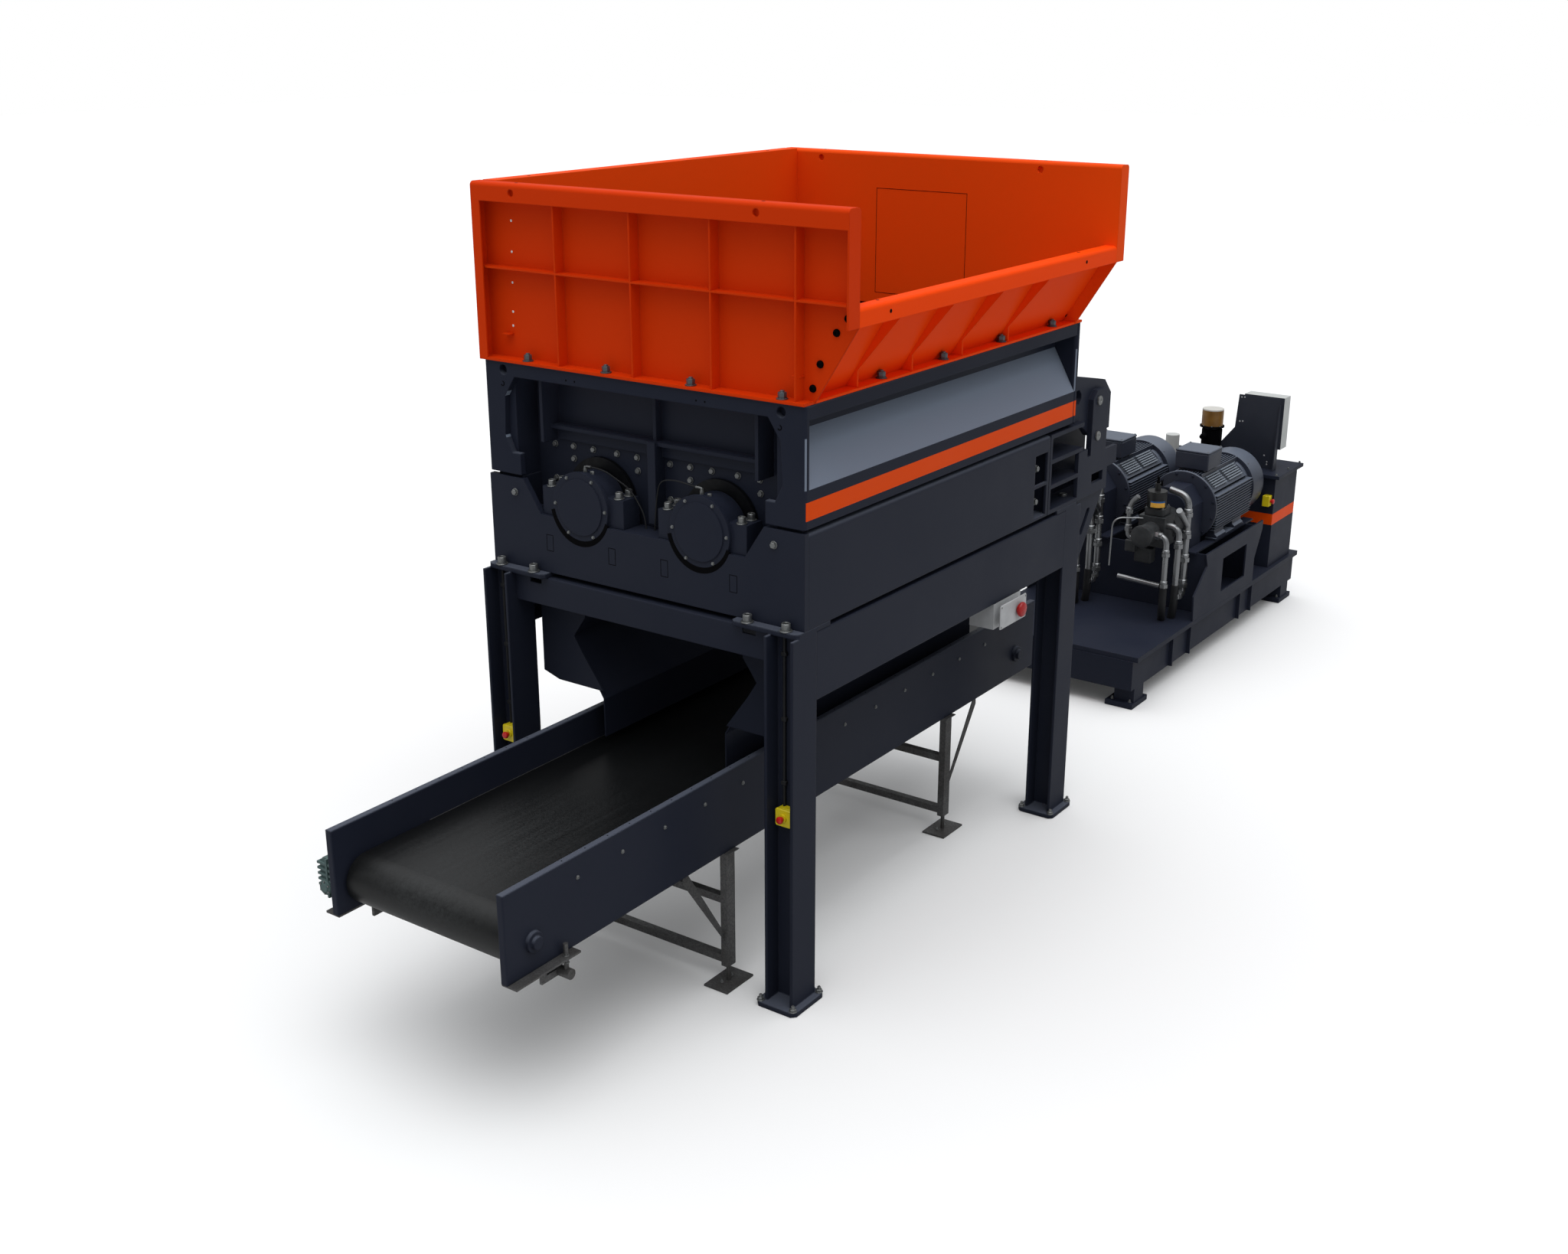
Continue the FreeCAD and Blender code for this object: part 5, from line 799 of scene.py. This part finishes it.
# Electric motors: finned cast frames with side feet, terminal boxes with screwed lids, fan cowls.
# Fins lie flat on both sides and stand upright on top; slatted pads fill the upper corners.
def slab(centre, half_a, half_b, tilt=0.0):
    """Outline of a rectangle of two half sizes, turned about its centre by an angle."""
    corners = np.array([(1, 1), (-1, 1), (-1, -1), (1, -1)]) * (half_a, half_b)
    c, s = math.cos(tilt), math.sin(tilt)
    return corners @ np.array([(c, s), (-s, c)]) + centre


def motor(cx, cz):
    """Sets of points and faces of one motor: turned flange, barrel and cowl, fins pressed along y."""
    spot = [(cx, 5.560, cz)]
    sets = [turned([(0.305, 0), (0.325, 0.003), (0.3295, 0.008), (0.3295, 0.024), (0.325, 0.029),
                    (0.272, 0.034),
                    (0.258, 0.052), (0.258, 0.070), (0.246, 0.078), (0.246, 0.960)], spot, "y", 72)]
    sets.append(turned([(0.246, 0.900), (0.272, 0.905), (0.276, 0.912), (0.276, 0.965)], spot, "y", 64))
    sets.append(turned([(0.285, 0.952), (0.3165, 0.955), (0.3175, 0.962), (0.3175, 1.190), (0.314, 1.222),
                        (0.302, 1.246), (0.280, 1.258), (0.200, 1.2595)], spot, "y", 72))
    low, high = 5.650, 6.512
    for dz in np.arange(-0.215, 0.112, 0.0250):
        for side in (-1, 1):
            root = side * math.sqrt(0.236 ** 2 - dz ** 2)
            tip = side * (0.303 - 0.25 * max(0.0, abs(dz + 0.04) - 0.13))
            wide = abs(tip - root) / 2
            sets.append(pressed(slab((cx + (root + tip) / 2, cz + dz), wide, 0.0040), "y", low, high,
                                0.0016))
    for dx in np.arange(-0.126, 0.127, 0.0280):
        root = math.sqrt(0.236 ** 2 - dx ** 2)
        tall = (0.296 - root) / 2
        sets.append(pressed(slab((cx + dx, cz + root + tall), 0.0042, tall), "y", low, high, 0.0012))
        sets.append(pressed(slab((cx + dx, cz - root - tall), 0.0042, tall), "y", low, high, 0.0012))
    for side in (-1, 1):
        tilt = side * math.radians(-41)
        reach_out = np.array([side * math.cos(math.radians(49)), math.sin(math.radians(49))])
        along = np.array([math.cos(tilt), math.sin(tilt)])
        middle = np.array([cx, cz]) + reach_out * 0.252
        sets.append(pressed(slab(middle, 0.096, 0.014, tilt), "y", low + 0.03, high - 0.03, 0.003))
        for step in (-0.060, -0.036, -0.012, 0.012, 0.036, 0.060):
            for start, stop in ((5.730, 6.020), (6.075, 6.400)):
                rib = middle + along * step + reach_out * 0.0250
                sets.append(pressed(slab(rib, 0.0058, 0.0120, tilt), "y", start, stop, 0.002))
        for start, stop in ((5.685, 5.905), (6.115, 6.330)):
            foot = [(cx + side * 0.200, cz - 0.313), (cx + side * 0.309, cz - 0.313),
                    (cx + side * 0.309, cz - 0.275),
                    (cx + side * 0.285, cz - 0.255), (cx + side * 0.272, cz - 0.110),
                    (cx + side * 0.215, cz - 0.110)]
            sets.append(pressed(foot, "y", start, stop, 0.003))
        sets.append(pressed(slab((cx + side * 0.254, cz - 0.302), 0.054, 0.011), "y", 5.670, 6.345, 0.003))
    sets.append(pressed(rounded(0.118, 0.130, 0.012, (cx, 5.865)), "z", cz + 0.225, cz + 0.330, 0.003))
    sets.append(pressed(rounded(0.162, 0.162, 0.014, (cx, 5.865)), "z", cz + 0.320, cz + 0.468, 0.004))
    sets.append(pressed(rounded(0.165, 0.165, 0.016, (cx, 5.865)), "z", cz + 0.470, cz + 0.492, 0.006))
    return sets


def motor_finish(name):
    """Gloss coat of the motors. With u and v measured across and up from a motor's axis, the
    colour goes from nearly black in the roots of the fins to grey at their tips by the distance
    from the axis, as painted shade between the fins; faces that look up get a painted highlight,
    and the slats of the upper corners, found along a line at 49 degrees, are paler as a painted highlight."""
    material, tree, spot = begun(name)
    place = put(tree, "ShaderNodeSeparateXYZ", Vector=spot)

    u = maths(tree, "ABSOLUTE", maths(tree, "SUBTRACT", maths(tree, "ABSOLUTE", place.outputs["X"]), 0.430))
    v = maths(tree, "SUBTRACT", place.outputs["Z"], 1.375)
    far = maths(tree, "SQRT",
                maths(tree, "ADD", maths(tree, "MULTIPLY", u, u), maths(tree, "MULTIPLY", v, v)), 0.0)
    ribbed = maths(tree, "MULTIPLY", maths(tree, "GREATER_THAN", place.outputs["Y"], 5.645),
                   maths(tree, "LESS_THAN", place.outputs["Y"], 6.46))
    # Painted shade: near black deep between the fins, fading out towards their tips.
    depth = maths(tree, "MULTIPLY", ribbed, reach(tree, far, 0.250, 0.290, 1.0, 0.0))
    along = maths(tree, "ADD", maths(tree, "MULTIPLY", u, 0.656), maths(tree, "MULTIPLY", v, 0.755))
    aside = maths(tree, "ABSOLUTE",
                  maths(tree, "SUBTRACT", maths(tree, "MULTIPLY", v, 0.656),
                        maths(tree, "MULTIPLY", u, 0.755)), 0.0)
    slats = maths(tree, "MULTIPLY", maths(tree, "GREATER_THAN", along, 0.2675),
                  maths(tree, "LESS_THAN", aside, 0.072))
    slats = maths(tree, "MULTIPLY", slats, ribbed)
    cloud = noise(tree, spot, 3.0, 4.0)
    upward = axis_of(tree, edge_normal(tree, 0.0012), "Z")
    tint = between(tree, reach(tree, cloud, 0.3, 0.7), srgb(40, 44, 56), srgb(46, 50, 62))
    # Painted highlight on upward faces and on the slats, painted shade in the fin roots.
    tint = between(tree, reach(tree, upward, 0.1, 0.9, 0.0, 0.75), tint, srgb(104, 112, 126))
    tint = between(tree, depth, tint, srgb(10, 11, 14))
    tint = between(tree, slats, tint, srgb(120, 128, 138))
    bump = grained(tree, noise(tree, spot, 240.0, 2.0), 0.04, 0.002, 0.0012)
    return finish(material, tree, tint, reach(tree, cloud, 0.3, 0.7, 0.34, 0.42), bump, level=0.3)


motor_axes = ((0.430, 1.375), (-0.430, 1.375))
motor_coat = motor_finish("motor_coat")
for label, (x, z) in zip(("right", "left"), motor_axes):
    body = joined("motor_" + label, motor(x, z), motor_coat)
    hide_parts("pack_motor_" + label)
turn = np.radians(np.arange(12) * 30 + 15)
ring_screws, case_screws, covers, corner_studs = [], [], [], []
for x, z in motor_axes:
    ring_screws += [(x + 0.302 * math.cos(a), 5.562, z + 0.302 * math.sin(a)) for a in turn
                    if abs(math.cos(a)) > 0.69 or math.sin(a) > 0.5]
    covers.append(pressed(rounded(0.168, 0.300, 0.150, (x, 1.268), 8), "y", 5.262, 5.302, 0.014))
    covers.append(turned([(0.125, -0.010), (0.132, 0.0), (0.132, 0.016), (0.122, 0.026), (0.110, 0.028)],
                         [(x, 5.262, 1.290)], "y", 40, sign=-1))
    case_screws += [(x + dx, 5.262, 1.268 + dz) for dx in (-0.148, 0.148)
                    for dz in (-0.20, -0.07, 0.07, 0.17)]
    corner_studs += [(x + a * 0.148, 5.865 + b * 0.148, 1.866) for a in (-1, 1) for b in (-1, 1)]
hex_screws("flange_screws", ring_screws, "y", 0.020, dark_coat, sign=-1)
hex_screws("gear_case_screws", case_screws, "y", 0.018, dark_coat, sign=-1)
joined("gear_case_covers", covers, dark_coat)
hex_screws("terminal_lid_screws", corner_studs, "z", 0.013, zinc_screw)
cowl_marks = []
for x, z in motor_axes:
    angle = np.radians(np.arange(4) * 90 + 45)
    edge = [(x + 0.3185 * math.cos(a), 6.560, z + 0.3185 * math.sin(a)) for a in angle]
    cowl_marks.append(turned([(0.006, -0.004), (0.006, 0.004)], edge, "y", 10))
    loop = np.linspace(0, 2 * np.pi, 41)
    for radius in (0.06, 0.105, 0.15, 0.195, 0.24, 0.285):
        circle = np.stack([x + radius * np.cos(loop), np.full(41, 6.823), z + radius * np.sin(loop)], -1)
        cowl_marks.append(swept(circle, 0.004, 6))
joined("cowl_grilles", cowl_marks, zinc_screw)


# Pumps and pipework: axial piston pumps with valve blocks, steel pipes with union nuts.
# The hoses that lead away to the shredder end at capped unions.
pipe_steel = coat("pipe_steel", srgb(142, 144, 146), 0.3, grain=0.02, dust=0.03, metal=0.9, scale=8.0,
                  edge=0.001)
pump_iron = coat("pump_iron", srgb(44, 46, 48), 0.42, grain=0.25, dust=0.05, scale=9.0)
dress(pump_iron, "pack_pump_right", "pack_pump_left")


def union(spots, axis, radius, sign=1.0):
    """Hexagon nut with a rounded collar on each end, as wide as 1.5 pipe radii."""
    nut = [(1.2 * radius, -0.9 * radius), (1.5 * radius, -0.75 * radius), (1.5 * radius, 0.45 * radius),
           (1.2 * radius, 0.6 * radius)]
    collar = [(1.05 * radius, 0.5 * radius), (1.25 * radius, 0.7 * radius), (1.25 * radius, 1.5 * radius),
              (1.02 * radius, 1.7 * radius)]
    return [turned(nut, spots, axis, 6, sign=sign), turned(collar, spots, axis, 20, sign=sign)]


def bent_pipe(pump_x, corners, bend, steps, radius):
    """A bent pipe; its corners are measured across from the pump's axis."""
    return swept(bent([(pump_x + x, y, z) for x, y, z in corners], bend, steps), radius)


pipes, blocks, bolts, suction = [], [], [], []
for cx in (0.430, -0.430):
    pipes.append(bent_pipe(cx, [(0.07, 4.800, 1.290), (0.190, 4.800, 1.290), (0.190, 4.800, 0.820)],
                           0.085, 10, 0.026))
    pipes.append(bent_pipe(cx, [(0.10, 4.960, 1.345), (0.235, 4.960, 1.345), (0.235, 4.960, 0.800)],
                           0.09, 10, 0.030))
    pipes.append(bent_pipe(cx, [(0.245, 5.110, 0.700), (0.245, 5.110, 1.600), (0.060, 5.110, 1.640)],
                           0.10, 10, 0.030))
    pipes.append(bent_pipe(cx, [(0.245, 5.110, 1.330), (0.245, 4.900, 1.520)], 0.05, 2, 0.028))
    pipes += union([(cx + 0.245, 5.110, z) for z in (0.78, 1.02, 1.24, 1.44)], "z", 0.030)
    pipes += union([(cx + 0.190, 4.800, z) for z in (1.130, 0.840)], "z", 0.026)
    suction.append(bent_pipe(cx, [(0.190, 4.800, 0.830), (0.190, 4.800, 0.600), (0.150, 4.900, 0.480)],
                             0.10, 8, 0.034))
    suction.append(bent_pipe(cx, [(0.235, 4.960, 0.810), (0.235, 4.960, 0.600), (0.200, 5.000, 0.480)],
                             0.10, 8, 0.036))
    crossing = [(cx - 0.24, 4.770, 0.860), (cx - 0.05, 4.770, 0.850), (cx + 0.16, 4.780, 0.835)]
    pipes.append(swept(crossing, 0.024))
    pipes += union([(cx + 0.235, 4.960, 1.180)], "z", 0.030)
    pipes += union([(cx + 0.105, 4.800, 1.290)], "x", 0.026)
    pipes.append(bent_pipe(cx, [(-0.10, 4.860, 1.200), (-0.210, 4.860, 1.200), (-0.210, 4.860, 1.520),
                                (-0.130, 4.860, 1.600)], 0.07, 8, 0.024))
    pipes += union([(cx - 0.210, 4.860, z) for z in (1.29, 1.45)], "z", 0.024)
    drain = bent([(cx + 0.020, 4.980, 1.470), (cx - 0.060, 4.900, 1.400), (cx - 0.270, 4.780, 1.400),
                  (cx - 0.310, 4.740, 1.360), (cx - 0.310, 4.720, 0.960)], 0.04, 6)
    pipes.append(swept(drain, 0.0075, 10))
    pipes += union([(cx + 0.245, 5.010, 0.700)], "y", 0.030, -1)
    pipes.append(swept([(cx + 0.245, y, 0.700) for y in (5.110, 5.000, 4.940)], 0.030))
    blocks.append(pressed(rounded(0.095, 0.085, 0.020, (cx, 5.000)), "z", 1.425, 1.500, 0.008))
    blocks.append(pressed(rounded(0.060, 0.050, 0.014, (cx - 0.02, 4.985)), "z", 1.500, 1.560, 0.006))
    blocks.append(pressed(rounded(0.050, 0.055, 0.014, (cx - 0.165, 4.865)), "z", 1.090, 1.200, 0.008))
    blocks.append(pressed(rounded(0.055, 0.070, 0.016, (4.92, 1.06)), "x", cx - 0.14, cx + 0.02, 0.008))
    blocks.append(turned([(0.060, -0.02), (0.098, 0.0), (0.102, 0.012), (0.102, 0.030), (0.092, 0.038),
                          (0.050, 0.044)],
                         [(cx, 4.702, 1.290)], "y", 32, sign=-1))
    bolts += [(cx + a * 0.074, 4.999 + b * 0.062, 1.498) for a in (-1, 1) for b in (-1, 1)]
    bolts += [(cx - 0.165 + a * 0.036, 4.865, 1.198) for a in (-1, 1)]
joined("pack_pipes", pipes, pipe_steel)
joined("suction_pipes", suction, black_rubber)
joined("valve_blocks", blocks, pump_iron)
socket_screws("valve_block_screws", bolts, "z", 0.016, zinc_screw)


# Pressure bottles: gloss-black forged shells, each with a two-colour band and a gas valve.
# Plain blue and yellow patches stand where the real ones carry a printed label.
gloss_black = coat("gloss_black", srgb(26, 27, 28), 0.3, grain=0.02, dust=0.03, scale=6.0)
dress(gloss_black, "pack_accumulators")
low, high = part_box("pack_accumulators")
bottle_y = (low.y + high.y) / 2
arc = np.radians(np.linspace(-105, -15, 13))


def patch(cx, z_low, z_high):
    """A crescent in plan, 0.8 mm thick on the bottle's shell, carried up between two heights."""
    outer = np.stack([cx + 0.0888 * np.cos(arc), bottle_y + 0.0888 * np.sin(arc)], -1)
    inner = np.stack([cx + 0.0878 * np.cos(arc[::-1]), bottle_y + 0.0878 * np.sin(arc[::-1])], -1)
    return pressed(np.concatenate([outer, inner]), "z", z_low, z_high, 0.0001)


band_z = high.z - 0.165
joined("bottle_bands_blue", [patch(cx, band_z, band_z + 0.014)
                             for cx in (0.43, -0.43)], moulded("band_blue", srgb(20, 88, 150)))
joined("bottle_bands_yellow", [patch(cx, band_z - 0.042, band_z) for cx in (0.43, -0.43)],
       moulded("band_yellow", srgb(226, 170, 60)))
valves = [turned([(0.016, -0.01), (0.016, 0.014), (0.011, 0.018), (0.011, 0.040), (0.014, 0.042),
                  (0.014, 0.056),
                  (0.008, 0.060)], [(cx, bottle_y, high.z) for cx in (0.43, -0.43)], "z", 12)]
valves.append(turned([(0.010, -0.01), (0.010, 0.030), (0.007, 0.034)],
                     [(cx + 0.035, bottle_y, high.z - 0.010) for cx in (0.43, -0.43)], "z", 6))
joined("bottle_valves", valves, dark_and_painted_shade)


# Return filter and breather on the tank lid: a bronze bowl on a dark head, a white air breather.
# A clamp ring with eight studs joins the bowl to its head, which has a port at the front.
def filter_finish(name):
    """Three finishes by place: bronze bowl high up, white breather far to the left, dark head."""
    material, tree, spot = begun(name)
    place = put(tree, "ShaderNodeSeparateXYZ", Vector=spot)
    bowl = maths(tree, "GREATER_THAN", place.outputs["Z"], 1.790)
    cap = maths(tree, "GREATER_THAN", place.outputs["Z"], 1.944)
    white = maths(tree, "LESS_THAN", place.outputs["X"], -0.20)
    cloud = reach(tree, noise(tree, spot, 12.0, 4.0), 0.35, 0.7)
    bronze = between(tree, cloud, srgb(142, 101, 38), srgb(116, 80, 30))
    tint = between(tree, bowl, srgb(38, 41, 48), bronze)
    tint = between(tree, cap, tint, srgb(206, 204, 198))
    tint = between(tree, white, tint, srgb(198, 200, 198))
    bump = grained(tree, noise(tree, spot, 400.0, 2.0), 0.05, 0.001)
    return finish(material, tree, tint, reach(tree, cloud, 0.0, 1.0, 0.34, 0.44), bump)


dress(filter_finish("filter_finish"), "pack_filter")
rings = [turned([(0.100, -0.012), (0.120, -0.008), (0.120, 0.006), (0.108, 0.010)], [(0.035, 7.150, 1.782)],
                "z", 40)]
rings.append(turned([(0.070, 0), (0.098, 0.006), (0.100, 0.020), (0.100, 0.318), (0.094, 0.326)],
                    [(0.039, 7.150, 1.430)], "z", 32))
rings.append(turned([(0.030, 0), (0.030, 0.07), (0.024, 0.075), (0.024, 0.10)], [(0.010, 7.060, 1.700)],
                    "y", 18, sign=-1))
joined("filter_ring", rings, dark_and_painted_shade)
turn = np.radians(np.arange(8) * 45 + 20)
hex_screws("filter_studs", [(0.035 + 0.111 * math.cos(a), 7.150 + 0.111 * math.sin(a), 1.790)
                            for a in turn], "z", 0.012,
           zinc_screw)


# Cabinet: a pale grey enclosure hung behind a dark cranked plate on the tank lid.
# The plate has paired cable holes; the enclosure's rear door has two quarter-turn locks.
def plate_and_case(name, line):
    """Dark coat in front of a depth along y, pale grey paint behind it."""
    material, tree, spot = begun(name)
    depth = axis_of(tree, spot, "Y")
    behind = maths(tree, "GREATER_THAN", depth, line)
    cloud = reach(tree, noise(tree, spot, 3.0, 5.0), 0.35, 0.7)
    dark = between(tree, cloud, srgb(36, 40, 51), srgb(43, 47, 58))
    pale = between(tree, cloud, srgb(196, 198, 196), srgb(184, 187, 186))
    bump = grained(tree, noise(tree, spot, 240.0, 2.0), 0.05, 0.002)
    return finish(material, tree, between(tree, behind, dark, pale), reach(tree, cloud, 0.0, 1.0, 0.4, 0.5),
                  bump)


dress(plate_and_case("cabinet_finish", 7.1605), "pack_cabinet")
holes = [(0.316, 2.105), (0.346, 2.108), (0.316, 1.864), (0.346, 1.867), (0.593, 1.557), (0.627, 1.496),
         (0.626, 1.470)]
joined("cabinet_holes", [dots("y", [(x, 7.150, z) for x, z in holes], 0.008, -1, 12)], pale_grey)
case_mid = (0.5425, 1.885)
door = [pressed(rounded(0.192, 0.244, 0.014, case_mid), "y", 7.318, 7.338, 0.005)]
joined("cabinet_door", door, pale_grey)
lock_spots = [(0.375, 7.336, z) for z in (1.74, 2.03)]
locks = [turned([(0.014, 0), (0.014, 0.006), (0.012, 0.008)], lock_spots, "y", 18)]
joined("cabinet_locks", locks, dark_and_painted_shade)
